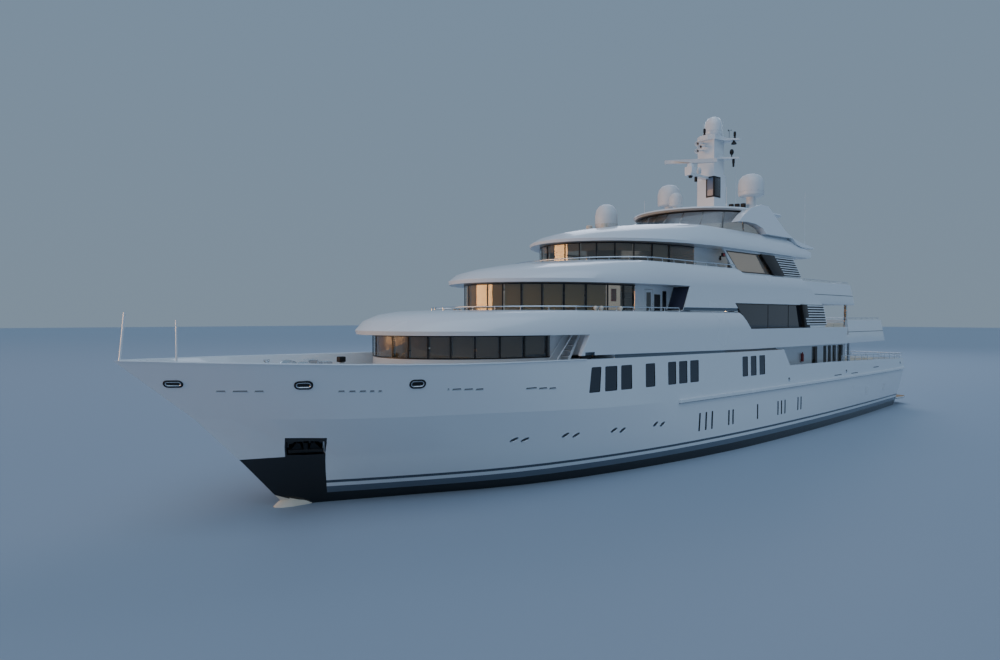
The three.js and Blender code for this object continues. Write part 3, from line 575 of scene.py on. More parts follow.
# faces of the guard plate, cut out of the bow along its outline, and of the bulb's nose
def cutPlate(bm):
    corners = [Vector((x, 0, z)) * mm for x, z in plateOutline]
    for first, last in zip(corners, corners[1:] + corners[:1]):
        along = last - first
        across = Vector((-along.z, 0, along.x)).normalized()
        near = [f for f in bm.faces if f.calc_center_median().x > hullLook["bowFrom"] * mm]
        region = set(near)
        for face in near:
            region.update(face.edges)
            region.update(face.verts)
        bmesh.ops.bisect_plane(bm, geom=list(region), dist=1e-6, plane_co=first, plane_no=across)
    for face in bm.faces:
        centre = face.calc_center_median() / mm
        if centre.x > hullLook["plateFrom"] and inside(centre.x, centre.z, plateOutline):
            face.material_index = hullFinishes.index(blackPlate)
        bulb = hullLook["bulb"]
        if centre.x > bulb["from"] and math.hypot(centre.y, centre.z - bulb["z"]) < bulb["radius"]:
            face.material_index = hullFinishes.index(bulbCream)


# the hull's knuckle forward stays a crease
def prepareHull(bm):
    cutPlate(bm)
    knuckle = hullLook["knuckle"]
    for edge in bm.edges:
        low, high = sorted(vertex.co.z for vertex in edge.verts)
        middle = (edge.verts[0].co + edge.verts[1].co) / 2
        along = abs((edge.verts[1].co - edge.verts[0].co).normalized().x)
        if middle.x > knuckle["from"] and low > knuckle["low"] and high < knuckle["high"] and along > 0.7:
            edge.smooth = False


# the outer and inner outline of a hull window's gasket
def windowOutlines(corners):
    slim = abs(corners[0][0] - corners[1][0]) < hullLook["slimWidth"]
    look = hullLook["slimWindow" if slim else "wideWindow"]
    outer = roundedOutline(corners, look["corner"])
    return outer, roundedOutline(insetOutline(corners, look["gasket"]), look["inner"])


def onHull(outline, outwards):
    return [hullPoint(x, z, outwards) for x, z in outline]


def hullCutter():
    piece = newPiece()
    for corners in hullWindows:
        outline, _ = windowOutlines(corners)
        walls = [onHull(outline, -hullLook["pocketDepth"]), onHull(outline, hullLook["cutReach"])]
        add(piece, loft(walls, capped=True), rubberAndShade, True)
    return finished(piece, "cutter")


# Gives the cut mesh the smooth normals of the whole one, apart from the faces of the pockets.
def keepNormals(mesh, source, pocket):
    source.calc_loop_triangles()
    triangles = source.loop_triangles
    places = [vertex.co for vertex in source.vertices]
    tree = BVHTree.FromPolygons(places, [triangle.vertices for triangle in triangles])
    corners = source.corner_normals
    normals = []
    for polygon in mesh.polygons:
        for vertex in polygon.vertices:
            if polygon.material_index == pocket:
                normals.append(polygon.normal.copy())
                continue
            place = mesh.vertices[vertex].co
            inwards = polygon.center - place
            probe = place + inwards.normalized() * min(0.5 * mm, inwards.length / 2)
            point, _, index, _ = tree.find_nearest(probe)
            triangle = triangles[index]
            normal = barycentric_transform(
                point, *[places[v] for v in triangle.vertices], *[corners[k].vector for k in triangle.loops])
            normals.append(normal.normalized() if normal.dot(polygon.normal) > 0.5 else polygon.normal.copy())
    mesh.normals_split_custom_set(normals)


hullSkin = skin("hull", hullFinishes, bevel=0, prepare=prepareHull, flatten=False)
cutter = hullCutter()
cutting = hullSkin.modifiers.new("pockets", "BOOLEAN")
cutting.operation = "DIFFERENCE"
cutting.solver = "EXACT"
cutting.object = cutter
ready = bpy.context.evaluated_depsgraph_get()
uncut = hullSkin.data
hullSkin.data = bpy.data.meshes.new_from_object(hullSkin.evaluated_get(ready))
hullSkin.modifiers.clear()
bpy.data.objects.remove(cutter)
keepNormals(hullSkin.data, uncut, hullFinishes.index(rubberAndShade))
print("hull cut:", len(hullSkin.data.polygons), "faces")

windows = newPiece()
floorOut = 0.1 - hullLook["pocketDepth"]
frontOut = floorOut + hullLook["frameHeight"]
for corners in hullWindows:
    outer, inner = windowOutlines(corners)
    rings = [(outer, floorOut), (outer, frontOut), (inner, frontOut), (inner, floorOut)]
    add(windows, loft([onHull(ring, out) for ring, out in rings], along=True), rubberAndShade, True)
    pane = [onHull(inner, floorOut), onHull(inner, -hullLook["paneDepth"])]
    add(windows, loft(pane, capped=True), darkGlass, True)
finished(windows, "hull_windows")

# slanted ports: a steel rim of (length, height, level) round a dark pane
ports = newPiece()
portPlaces = [
    (1865, 239), (1810, 234), (1597, 236), (1534, 230), (1301, 232), (1241, 226), (1000, 233), (944, 227),
]
portRim = [(46, 21, -1), (45, 20, 1.2), (42, 17, 1.6), (40, 15.5, 0.4), (40, 15, -1)]
for x, z in portPlaces:
    seat = onSide(x, z, -25)
    add(ports, rimmed([(ellipse(u, v), level) for u, v, level in portRim]), steel, True, seat)
    add(ports, lid(ellipse(41, 16.5), 1.5), darkGlass, True, seat)
finished(ports, "slanted_ports")

# fairleads: a black and a steel rim, each of (how much less than full size, level)
fairleads = newPiece()
blackRim = [(0, -2), (0, 1.5), (3, 3.5), (9, 3.5), (12, 1.5), (13, -2)]
steelRim = [(13, -1), (13, 1), (15, 2), (20, 1.5), (24, -1)]
for x, z, length, high in ((3157, 539, 72, 34), (2769, 528, 70, 38), (2367, 519, 68, 40)):
    seat = onSide(x, z)
    for rim, finish in ((blackRim, rubberAndShade), (steelRim, steel)):
        outlines = [(stadium(length - less, high - less), level) for less, level in rim]
        add(fairleads, rimmed(outlines), finish, True, seat)
    # a black lid as painted shade in the fairlead's opening
    add(fairleads, lid(stadium(length - 22, high - 22), 1.3), rubberAndShade, True, seat)
finished(fairleads, "bow_fairleads")

# slots in the topsides, in rows that are parted at shares of their length
slots = newPiece()
slotRows = [
    ((3037, 510), (2878, 508), (0.0, 0.29, 0.71, 1.0)),
    ((2657, 502), (2489, 496), (0.0, 0.22, 0.44, 0.66, 0.84, 1.0)),
    ((2248, 493), (2077, 484), (0.0, 0.12, 0.42, 0.72, 1.0)),
    ((1879, 477), (1700, 466), (0.0, 0.4, 0.72, 1.0)),
    ((-1133, 366), (-1279, 358), (0.0, 1.0)),
    ((-1452, 363), (-1593, 355), (0.0, 1.0)),
    ((-1918, 385), (-2057, 378), (0.0, 1.0)),
]
for fore, after, shares in slotRows:
    for low, high in zip(shares, shares[1:]):
        start, end = (Vector(fore).lerp(Vector(after), share) for share in (low, high))
        length = abs(start.x - end.x) - 9
        seat = onSide(*((start + end) / 2))
        rim = stadium(length, 9, 4)
        inner = stadium(length - 4, 5, 4)
        add(slots, rimmed([(rim, -1), (rim, 0.8), (inner, 0.8), (inner, -1)]), white, True, seat)
        # a black lid as painted shade in the slot
        add(slots, lid(inner, 1.2), rubberAndShade, True, seat)
        lip = [(-length / 2, -4.5, 0.5), (length / 2, -4.5, 0.5)]
        add(slots, tube(lip, 1.2, 8), steel, True, seat)
finished(slots, "topside_slots")

# chocks: a black block as painted shade in the mouth, with a steel roller below it
chocks = newPiece()
for x, z in ((-421, 377), (-1361, 379), (-2596, 384)):
    seat = onSide(x, z)
    add(chocks, block((-11, -12, -2), (11, 14, 1.5), 1.5, 2), steel, True, seat)
    add(chocks, block((-8, 1, 1), (8, 11, 2), 0.6, 2), rubberAndShade, True, seat)
    add(chocks, tube([(-8, -3, 3), (8, -3, 3)], 3, 12), steel, True, seat)
finished(chocks, "side_chocks")

# three faint covers low on the quarter
covers = newPiece()
for x, z, wide, tall in ((-1513, 235, 14, 40), (-1828, 203, 52, 70), (-2243, 205, 44, 60)):
    seat = onSide(x, z)
    rim = roundedOutline(rectangle(-wide / 2, -tall / 2, wide / 2, tall / 2), 4)
    inner = [(u * 0.86, v * 0.9) for u, v in rim]
    add(covers, rimmed([(rim, -1), (rim, 0.7), (inner, 0.7), (inner, -1)]), white, True, seat)
    add(covers, lid(inner, 1.3), domeShell, True, seat)
finished(covers, "quarter_covers")

# painted shade: a dark seam under the rub rail where its shadow falls, and a dark box filling the recess
# where the groove over the hull starts
shadowLines = newPiece()
add(shadowLines, tube([hullPoint(x, 325) for x in range(810, -2690, -50)], 2.2, 8), rubberAndShade, True)
add(shadowLines, block((1470, 558, 588), (1529, 577, 619), 1, 2), rubberAndShade, True)
finished(shadowLines, "hull_painted_shade")
print("hull fittings made")


# Skins of the CAD nodes

def bothOf(name):
    return [name + "_port", name + "_starboard"]


whiteNodes = [
    *bothOf("rub_rail"), "sun_deck_shell", "main_tier_house", "upper_tier_house", "bridge_house",
    "bridge_side_walls", "upper_aft_deck", "bridge_aft_deck", "main_deck_house", "hardtop",
    *bothOf("arch_leg"), *bothOf("side_stairs"), "transom_door", *bothOf("side_door"),
]
for node in whiteNodes:
    skin(node, [white])
for node in ("jack_staff", "bow_light_pole", "mast"):
    skin(node, [white], bevel=0)

# the anchor's stock lies askew, and its ends past the reach are steel, in metres
stock = {"x": 2.695, "y": 0.155, "turn": 0.52, "reach": 0.066}


def onStockEnd(centre, normal):
    across = (abs(centre.y) - stock["y"]) * math.sin(stock["turn"])
    return abs(across - (centre.x - stock["x"]) * math.cos(stock["turn"])) > stock["reach"]


for side, _ in sides:
    skin("rudder_" + side, [antifouling])
    skin("stabiliser_fin_" + side, [antifouling])
    skin("propeller_" + side, [castBronze], bevel=0.6)
    skin("main_deck_pillar_" + side, [steel])
    skin("upper_deck_pillar_" + side, [steel])
    anchorLook = [anchorBlack, steel]
    skin("anchor_" + side, anchorLook, flatten=False, prepare=marking(onStockEnd))
skin("foredeck_gear", [steel])
skin("swim_platform", [white, teakDeck], bevel=2, segments=3, prepare=marking(
    lambda centre, normal: normal.z > 0.9))
for node in (*bothOf("satellite_dome"), "bow_dome", "small_dome", "radar_scanner"):
    skin(node, [domeShell])
print("skins made")

for node in ("main_tier_glass", "upper_tier_glass", "bridge_glass"):
    skin(node, [tintedGlass], bevel=0.5)
for side, _ in sides:
    skin("upper_side_window_" + side, [darkGlass], bevel=0.5)
    skin("main_deck_window_" + side, [tintedGlass], bevel=0.5)
    skin("saloon_door_" + side, [tintedGlass], bevel=0.5)
    skin("bridge_side_window_" + side, [smokedGlass], bevel=0.5)
skin("sun_deck_windscreen", [smokedGlass], bevel=0.5)
print("glass made")


# Tier windows: bars outside, blinds inside. Angles are measured round each nose from abeam, in degrees.
# drop is how far each pane's blind is down, and drawn lists curtains by their two angles and cloth.

tiers = [
    {
        "name": "main_tier", "full": 1560, "tip": 2255, "half": 478, "low": 596, "high": 703, "aft": 1640,
        "first": 81.0, "step": 10.4, "count": 8, "bar": 8, "cloth": meshCloth,
        "drop": (1.0, 1.0, 1.0, 1.0, 1.0, 1.0, 0.9), "more": (), "drawn": (),
    },
    {
        "name": "upper_tier", "full": 930, "tip": 1705, "half": 470, "low": 815, "high": 956, "aft": 1005,
        "first": 80.5, "step": 10.1, "count": 7, "bar": 9, "cloth": blindCloth,
        "drop": (1.0, 1.0, 1.0, 1.0, 0.94, 1.0), "more": (11.8, 6.4),
        "drawn": ((28.8, 24.4, greenGlowCloth), (20.0, 12.4, lampGlowCloth)), "cabinet": (17.2, 866, 14.8, 932),
    },
    {
        "name": "bridge", "full": 470, "tip": 1135, "half": 430, "low": 1062, "high": 1202, "aft": 400,
        "first": 80.5, "step": 11.1, "count": 7, "bar": 9, "cloth": meshCloth,
        "drop": (0.3, 0.3, 0.3, 0.3, 0.3, 1.0), "more": (),
        "drawn": ((24.5, 22.0, greenGlowCloth), (19.0, 16.0, greenGlowCloth)),
    },
]


def onNose(tier, degrees, z, out=0.0):
    angle = math.radians(degrees)
    reach = tier["tip"] - tier["full"] + out
    return Vector((tier["full"] + reach * math.sin(angle), (tier["half"] + out) * math.cos(angle), z))


# a point on the nose for an angle that goes on past its tip to starboard
def acrossNose(tier, degrees, z, out):
    point = onNose(tier, degrees if degrees <= 90 else 180 - degrees, z, out)
    return point if degrees <= 90 else Vector((point.x, -point.y, point.z))


def windowBars(tier, angles):
    frames = newPiece()
    low, high, aft = tier["low"], tier["high"], tier["aft"]
    length = tier["tip"] - tier["full"]
    half = tier["bar"] / 2 / (math.pi / 180 * length)
    section = [(-half, -1.0), (-half, 1.8), (half, 1.8), (half, -1.0)]
    for centre in (*angles, *tier["more"]):
        bars = [[onNose(tier, centre + turn, z, out) for turn, out in section] for z in (low + 1, high - 1)]
        add(frames, softened(loft(bars, capped=True), 0.4), darkFrame, True)
    # the rails above and below the glass, round the whole nose
    begin = math.degrees(math.asin(max(0, (aft - tier["full"]) / length)))
    for z0, z1 in ((low + 0.5, low + 6), (high - 7, high - 0.5)):
        corners = ((z0, -1), (z0, 2.0), (z1, 2.0), (z1, -1))
        loops = []
        for i in range(61):
            turn = begin + (180 - 2 * begin) * i / 60
            loops.append([acrossNose(tier, turn, z, out) for z, out in corners])
        if tier["full"] > aft:
            ends = [[Vector((aft + 1, p.y, p.z)) for p in loops[i]] for i in (0, -1)]
            loops = [ends[0], *loops, ends[1]]
        add(frames, loft(loops, capped=True), darkFrame)
    finished(frames, tier["name"] + "_window_bars")


# blinds between the bars with their head rollers, curtains across some panes, and a cabinet
def windowBlinds(tier, angles):
    blinds = newPiece()
    low, high, cloth = tier["low"], tier["high"], tier["cloth"]
    inner, margin = -14, 0.6
    edges = [180 - angles[0], *angles]
    for k, (fore, after) in enumerate(zip(edges, edges[1:])):
        foot = high - 8 - (high - low - 16) * tier["drop"][max(0, k - 1)]
        start = fore - margin if k else 90.0
        turns = [start + (after + margin - start) * i / 6 for i in range(7)]
        edge = [(high - 6, inner), (foot, inner), (foot, inner - 0.8), (high - 6, inner - 0.8)]
        loops = [[onNose(tier, turn, z, out) for turn in turns] for z, out in edge]
        add(blinds, loft(loops, around=False, along=True), cloth, True)
        add(blinds, tube(loops[1], 1.6, 8), cloth, True)
        add(blinds, tube([onNose(tier, turn, high - 6, inner - 3) for turn in turns], 3.2, 8), white, True)
    for start, end, drawn in tier["drawn"]:
        steps = 6 * max(2, round(start - end))
        turns = [start + (end - start) * i / steps for i in range(steps + 1)]
        folds = [(turn, -20 + 3 * math.sin(math.pi * i / 3)) for i, turn in enumerate(turns)]
        rows = [[onNose(tier, turn, z, out) for turn, out in folds] for z in (low + 3, high - 6)]
        add(blinds, loft(rows, around=False), drawn, True)
    if "cabinet" in tier:
        corners = [onNose(tier, turn, z, inner) for turn, z in rectangle(*tier["cabinet"])]
        add(blinds, prism(corners, (0, -6, 0), 1), lacquer, True)
    finished(blinds, tier["name"] + "_blinds")


for tier in tiers:
    angles = [tier["first"] - tier["step"] * k for k in range(tier["count"])]
    windowBars(tier, angles)
    windowBlinds(tier, angles)
print("tier windows made")


# Rails: a steel tube on stanchions along a line, with thinner tubes at shares of the height

def railing(piece, line, spacing, height, mids=()):
    postRadius = 2.2
    line = [Vector(point) for point in line]
    for share, radius, around in ((1, 3.0, 10), *[(share, 1.8, 8) for share in mids]):
        add(piece, tube([p + Vector((0, 0, height * share)) for p in line], radius, around), steel, True)
    collar = [(0, 0), (postRadius * 2.2, 0), (postRadius * 2, 1.2), (postRadius, 1.6), (0, 1.6)]
    walked = 0.0
    due = 0.0
    for first, last in zip(line, line[1:]):
        length = (last - first).length
        while due <= walked + length + 1e-6:
            foot = first.lerp(last, (due - walked) / length)
            post = [foot - Vector((0, 0, 2)), foot + Vector((0, 0, height))]
            add(piece, tube(post, postRadius, 8), steel, True)
            add(piece, turned(collar, foot, 12), steel, True)
            due += spacing
        walked += length


def topAt(node, x, y):
    return hit(node, (x, y, 3000), (0, 0, -1))[0]


# A line round the rim of a deck's bulwark: from inside outwards, the first place well above the deck.
def rimLine(node, plan, deck, straight):
    full, tip, half = plan
    rise, outwards = 45, 7
    line = []
    for centre, degrees in [(x, 0) for x in straight] + [(full, turn) for turn in range(0, 91, 3)]:
        ahead, abeam = math.sin(math.radians(degrees)), math.cos(math.radians(degrees))
        for share in range(880, 1200, 2):
            x = centre + (tip - full) * ahead * share / 1000
            y = half * abeam * share / 1000
            point = topAt(node, x, y)
            if point is not None and point.z > deck + rise:
                settled = topAt(node, x + outwards * ahead, y + outwards * abeam)
                line.append(point if settled is None else settled)
                break
    return line


rails = newPiece()
rimOne = rimLine("upper_deck_shell", (1400, 1800, 560), 735, (740, 900, 1100, 1300))
rimTwo = rimLine("bridge_deck_shell", (850, 1240, 530), 1000, (115, 300, 500, 700))
railing(rails, rimOne, 132, 18)
railing(rails, rimTwo, 105, 20)
# round deck lamps on the rim beside the upper tier
globe = [(0, -2), (5, -2), (5, 2), (9, 6), (11, 12), (9, 18), (5, 21), (0, 22)]
for x in (1426, 1384, 1240):
    add(rails, turned(globe, topAt("upper_deck_shell", x, 566)), bulbCream, True)
finished(rails, "upper_rails")
print("rails made")


# Painted shade in recesses of the CAD skins: the shadow gaps of the shells and the backs of the louvres

def inGroove(centre, normal):
    side = abs(centre.y)
    if 1.468 < centre.x < 1.531 and 0.577 < side < 0.6 and 0.598 < centre.z < 0.621:
        return True
    low = 0.572 < centre.z < 0.608 and 0.55 < side < 0.598
    return low and abs(normal.y) > 0.8 and -0.37 < centre.x < 1.5


def inSideGap(centre, normal):
    return abs(normal.y) > 0.8 and 0.578 < abs(centre.y) < 0.582 and 0.81 < centre.z < 0.839


def louvreBackShade(seatY, lean):
    def chosen(centre, normal):
        proud = abs(centre.y) + lean * (centre.z - 0.713) - seatY
        return abs(normal.y) > 0.8 and 2 * mm < proud < 5 * mm
    return marking(chosen)


shellLook = [white, gapShadeGrey]
louvreShadeLook = [white, rubberAndShade]
# the shells' gaps and the start of the groove are grey as painted shade
skin("upper_deck_shell", shellLook, prepare=marking(inGroove))
skin("bridge_deck_shell", shellLook, prepare=marking(inSideGap))
# the louvres' backs, seen between the slats, are black as painted shade
for side, _ in sides:
    skin("lower_louvre_" + side, louvreShadeLook, 0.4, prepare=louvreBackShade(0.5943, 0.05))
    skin("upper_louvre_" + side, louvreShadeLook, 0.4, prepare=louvreBackShade(0.5083, 0.0))


# Teak laid on the open decks: the up-facing floors of the CAD, in from their edges

decking = {"margin": 9, "lift": 0.8, "flat": 0.97}
decks = [
    ("foredeck_teak", "hull", 499, 580), ("main_deck_teak", "hull", 334, 336),
    ("upper_deck_teak", "upper_deck_shell", 734, 736), ("bridge_deck_teak", "bridge_deck_shell", 999, 1001),
    ("sun_deck_teak", "sun_deck_shell", 1254, 1256), ("upper_aft_teak", "upper_aft_deck", 654, 656),
    ("bridge_aft_teak", "bridge_aft_deck", 934, 936),
]
for name, node, low, high in decks:
    bm = meshOf(node)
    bm.normal_update()
    spare = []
    for face in bm.faces:
        if face.normal.z <= decking["flat"] or not low * mm <= face.calc_center_median().z <= high * mm:
            spare.append(face)
    bmesh.ops.delete(bm, geom=spare, context="FACES")
    dissolve(bm, 1)
    rim = bmesh.ops.inset_region(bm, faces=bm.faces, thickness=decking["margin"] * mm, use_even_offset=True)
    bmesh.ops.delete(bm, geom=rim["faces"], context="FACES")
    bmesh.ops.triangulate(bm, faces=bm.faces)
    bmesh.ops.translate(bm, vec=(0, 0, decking["lift"] * mm), verts=bm.verts)
    for face in bm.faces:
        face.smooth = True
    shown(bm, name, [teakDeck], ship)
print("decks laid")


# Frames and curtains of the long side windows

def sideRing(piece, corners, y, wide, deep, radius=6):
    outer = roundedOutline(corners, radius)
    inner = roundedOutline(insetOutline(corners, wide), max(radius - wide / 2, 1))
    add(piece, ringPlate(outer, inner, y - deep, y), darkFrame, True)


windowTrim = newPiece()
sideRing(windowTrim, [(199, 869), (-625, 869), (-677, 714), (52, 714)], 583, 6, 5)
sideRing(windowTrim, [(185, 1189), (-222, 1189), (-391, 1065), (36, 1065)], 507, 6, 1)
# the deep aft frames, which reach out to the louvres' faces
aftFrames = [
    ([(-219, 1191), (-392, 1191), (-540, 1063), (-388, 1063)], 507.2, 12.8),
    ([(-621, 872), (-693, 872), (-744, 711), (-673, 711)], 583.5, 17.5),
]
for corners, y, deep in aftFrames:
    add(windowTrim, plate(corners, y, deep, 1), darkFrame, True)
for x in (-470, -200):
    add(windowTrim, plate(rectangle(x - 2, 715, x + 2, 867), 577.6, 2, 0.4), darkFrame, True)
# the main deck's windows and doorway
for x, width in ((-1590, 90), (-1465, 55), (-1375, 45), (-1295, 45), (-1145, 85)):
    sideRing(windowTrim, rectangle(x, 352, x + width, 570), 471, 4, 3, 4)
finished(windowTrim, "side_window_trim")


def curtain(x0, x1, y, low, high, lean=0.0):
    wave, depth = 26, 4
    steps = max(8, int(abs(x1 - x0) / wave * 8))
    shares = [i / steps for i in range(steps + 1)]
    folds = [(x0 + (x1 - x0) * t, y + depth * math.sin(2 * math.pi * (x1 - x0) * t / wave)) for t in shares]
    levels = (low, (low + high) / 2, high)
    return loft([[(x + lean * (z - low), out, z) for x, out in folds] for z in levels], around=False)


curtains = newPiece()
add(curtains, curtain(-330, 20, 486, 1066, 1187, 1.1), lampGlowCloth, True)
add(curtains, curtain(-620, -560, 556, 716, 866), curtainCloth, True)
add(curtains, curtain(60, 110, 556, 716, 866), curtainCloth, True)
finished(curtains, "side_curtains")

# the upper tier's side: windowed door, dark window and the glazed end of the walk
doorWindow = rectangle(862, 752, 920, 928)
outer = roundedOutline(doorWindow, 5)
inner = roundedOutline(insetOutline(doorWindow, 9), 4)
for side, sign in sides:
    door = newPiece()
    add(door, ringPlate(outer, inner, sign * 469.5, sign * 471.5), white)
    add(door, plate(inner, sign * 470.1, sign * 0.6), darkGlass)
    grip = [(864, sign * y, z) for y, z in ((470, 842), (476, 842), (476, 862), (470, 862))]
    add(door, tube(bent(grip, 3), 1, 8), steel)
    finished(door, "side_door_trim_" + side, body="side_door_" + side)
walkTrim = newPiece()
for x0, x1, top in ((792, 836, 905), (736, 762, 925)):
    sideRing(walkTrim, rectangle(x0 - 4, 762, x1 + 4, top + 4), 471.6, 5, 2, 4)
    add(walkTrim, plate(roundedOutline(rectangle(x0, 766, x1, top), 4), 469.5, 1.2), darkGlass, True)
# the glazed end of the walk, on the slanted front of the shell's side: shares of its height, and y
slopeTop, slopeFoot = Vector((668, 0, 956)), Vector((730, 0, 820))
proud = Vector((0.91, 0, 0.415))
for share0, share1, y0, y1, out, finish in (
    (0.03, 0.97, 476, 577, 0.4, darkFrame), (0.07, 0.93, 481, 572, 1.2, violetGlass),
):
    corners = []
    for y, share in ((y0, share0), (y0, share1), (y1, share1), (y1, share0)):
        corners.append(slopeTop.lerp(slopeFoot, share) + proud * out + Vector((0, y, 0)))
    add(walkTrim, prism(corners, proud * 0.9), finish, True)
finished(walkTrim, "upper_walk_window")
print("side windows made")

# aft rails, on the bulwarks of the three aft decks, and a dark seam round each of the two upper bands
aftRails = newPiece()
railing(aftRails, [(-1350, 573, 765), (-2090, 548, 765), (-2112, 520, 765), (-2112, 0.5, 765)], 120, 15)
railing(aftRails, [(-760, 545, 1038), (-1545, 520, 1038), (-1567, 495, 1038), (-1567, 0.5, 1038)], 110, 14)
bandSeams = [
    (675, ((-1342, 592.2), (-2138, 566.2), (-2141, 562), (-2141, 0.5))),
    (949, ((-845, 559.4), (-1596, 539.2), (-1599, 535), (-1599, 0.5))),
]
for z, corners in bandSeams:
    add(aftRails, tube([(x, y, z) for x, y in corners], 1.6, 8), rubberAndShade, True)
# the rail over the hull's bulwark stands inboard of its side
quarter = [(-1300, 458), (-1700, 448), (-2100, 439), (-2400, 432), (-2460, 426), (-2640, 425), (-2680, 425)]
bulwarkTop = [(x, hullPoint(x, z - 20).y - 8, z) for x, z in quarter]
bulwarkTop += [(-2692, bulwarkTop[-1][1] - 25, 425), (-2692, 0.5, 425)]
railing(aftRails, bulwarkTop, 130, 42, mids=(0.5,))
finished(aftRails, "aft_rails")
print("aft rails made")


# Deck furniture. Each maker gives its parts and their finishes, standing on z = 0 and facing the bow.

def chair():
    parts = [
        (block((-24, -25, 38), (24, 25, 44)), rattan), (block((-22, -23, 44), (23, 23, 52), 3), cushion),
        (block((-27, -25, 40), (-22, 25, 84), 2), rattan),
    ]
    for y in (-1, 1):
        parts.append((block((-24, y * 25 - 2, 60), (20, y * 25 + 2, 64), 1), rattan))
        parts += [(tube([(x, y * 23, 1.2), (x, y * 24, 61)], 2, 8), rattan) for x in (-22, 20)]
    return parts


def table(long, wide):
    parts = [(block((-wide / 2, -long / 2, 70), (wide / 2, long / 2, 75), 2), mahogany)]
    for y in (-long / 4, long / 4):
        parts.append((block((-14, y - 14, 4), (14, y + 14, 71), 3), steel))
        parts.append((block((-32, y - 32, 1.2), (32, y + 32, 5), 1), steel))
    return parts


def sofa(long):
    parts = [(block((-38, -long / 2, 1.2), (38, long / 2, 26), 3), white)]
    count = max(2, round(long / 80))
    half = long / count / 2 - 0.6
    for i in range(count):
        y = -long / 2 + (i + 0.5) * long / count
        parts.append((block((-20, y - half, 26), (37, y + half, 44), 5), cushion))
        parts.append((block((-37, y - half, 28), (-20, y + half, 82), 5), cushion))
    return parts


def lounger():
    parts = [(block((-95, -33, 14), (95, 33, 20), 2), mahogany)]
    for x in (-80, 80):
        for y in (-28, 28):
            parts.append((block((x - 3, y - 3, 1.2), (x + 3, y + 3, 15), 0.8), mahogany))
    back = block((-62, -31, -2), (0, 31, 8), 4)
    bmesh.ops.transform(back, matrix=atPlace(-35, 0, 22, 32, "Y"), verts=back.verts)
    return parts + [(block((-35, -31, 20), (94, 31, 30), 4), cushion), (back, cushion)]


# the bar counter, and a stool
def bar():
    top = block((-31, -156, 105), (31, 156, 111), 2)
    return [(block((-25, -150, 0), (25, 150, 105), 5), white), (top, mahogany)]


def stool():
    leg = [(0, 0), (16, 0), (16, 2), (3, 4), (3, 70), (0, 70)]
    seat = [(0, 70), (16, 70), (18, 74), (16, 79), (0, 80)]
    return [(turned(leg), steel), (turned(seat), cushion)]


# pieces with their x and y, heading in degrees and sizes, on each floor level
mainFloor, upperFloor, bridgeFloor, sunFloor = 335.8, 655.8, 935.8, 1255.8
ringOfChairs = [
    (chair, -1760 + 175 * math.cos(math.radians(turn)), 175 * math.sin(math.radians(turn)), turn + 180)
    for turn in range(30, 390, 60)
]
furniturePlan = [
    (mainFloor, [
        (table, -2000, 0, 0, 560, 120),
        *[(chair, x, y, turn) for y in (-220, -75, 75, 220) for x, turn in ((-1915, 180), (-2085, 0))],
        (chair, -2000, -325, 90), (chair, -2000, 325, -90), (sofa, -2600, 0, 0, 640),
        (table, -2490, 0, 0, 220, 80),
    ]),
    (upperFloor, [(table, -1760, 0, 0, 240, 240), *ringOfChairs, (sofa, -2050, 0, 0, 560)]),
    (bridgeFloor, [
        *[(lounger, -1420, y, 180) for y in (-330, -110, 110, 330)],
        (sofa, -1060, -220, 180, 240), (sofa, -1060, 220, 180, 240), (table, -1150, 0, 0, 120, 90),
    ]),
    (sunFloor, [
        (lounger, 420, -150, 180), (lounger, 420, 150, 180), (sofa, 190, 0, 180, 330),
        (table, 60, 0, 0, 200, 90), (bar, -305, 0, 0), *[(stool, -240, y, 0) for y in (-110, -40, 40, 110)],
    ]),
]
furniture = newPiece()
for floor, things in furniturePlan:
    for make, x, y, turn, *sizes in things:
        for part, finish in make(*sizes):
            add(furniture, part, finish, place=atPlace(x, y, floor, turn))
finished(furniture, "deck_furniture")
print("furniture made")


# Foredeck: bollards, hatch, vents and the windlasses' drums and chains

foredeck = newPiece()


def foreZ(x):
    return 500 + max(0, x - 2300) * 0.07


def bollard(x, y, z, size):
    base = atPlace(x, y, z)
    add(foredeck, block((-30 * size, -10 * size, 0.8), (30 * size, 10 * size, 4), 1.5), steel, place=base)
    post = [(0, 2), (7, 2), (6, 6), (6, 20), (8, 22), (8, 25), (6, 27), (0, 27)]
    for u in (-17, 17):
        add(foredeck, turned([(r * size, h * size) for r, h in post], (u * size, 0, 0)), steel, place=base)


for x, y in ((2890, 120), (2450, 250), (2000, 395)):
    for _, sign in sides:
        bollard(x, y * sign, foreZ(x), 0.9)
for _, sign in sides:
    for x in (-1250, -2300):
        bollard(x, sign * 535, 335, 0.8)
hatch = atPlace(2300, 0, foreZ(2300))
add(foredeck, block((-62, -62, 0.8), (62, 62, 20), 5), white, place=hatch)
add(foredeck, block((-48, -48, 19), (48, 48, 23), 3), darkGlass, place=hatch)
vent = [(0, 0.8), (14, 0.8), (14, 26.8), (26, 28.8), (28, 33.8), (24, 40.8), (12, 44.8), (0, 45.8)]
for x, y in ((2420, 120), (2420, -120), (2200, 200), (2200, -200)):
    add(foredeck, turned(vent, (x, y, foreZ(x)), 28), white)
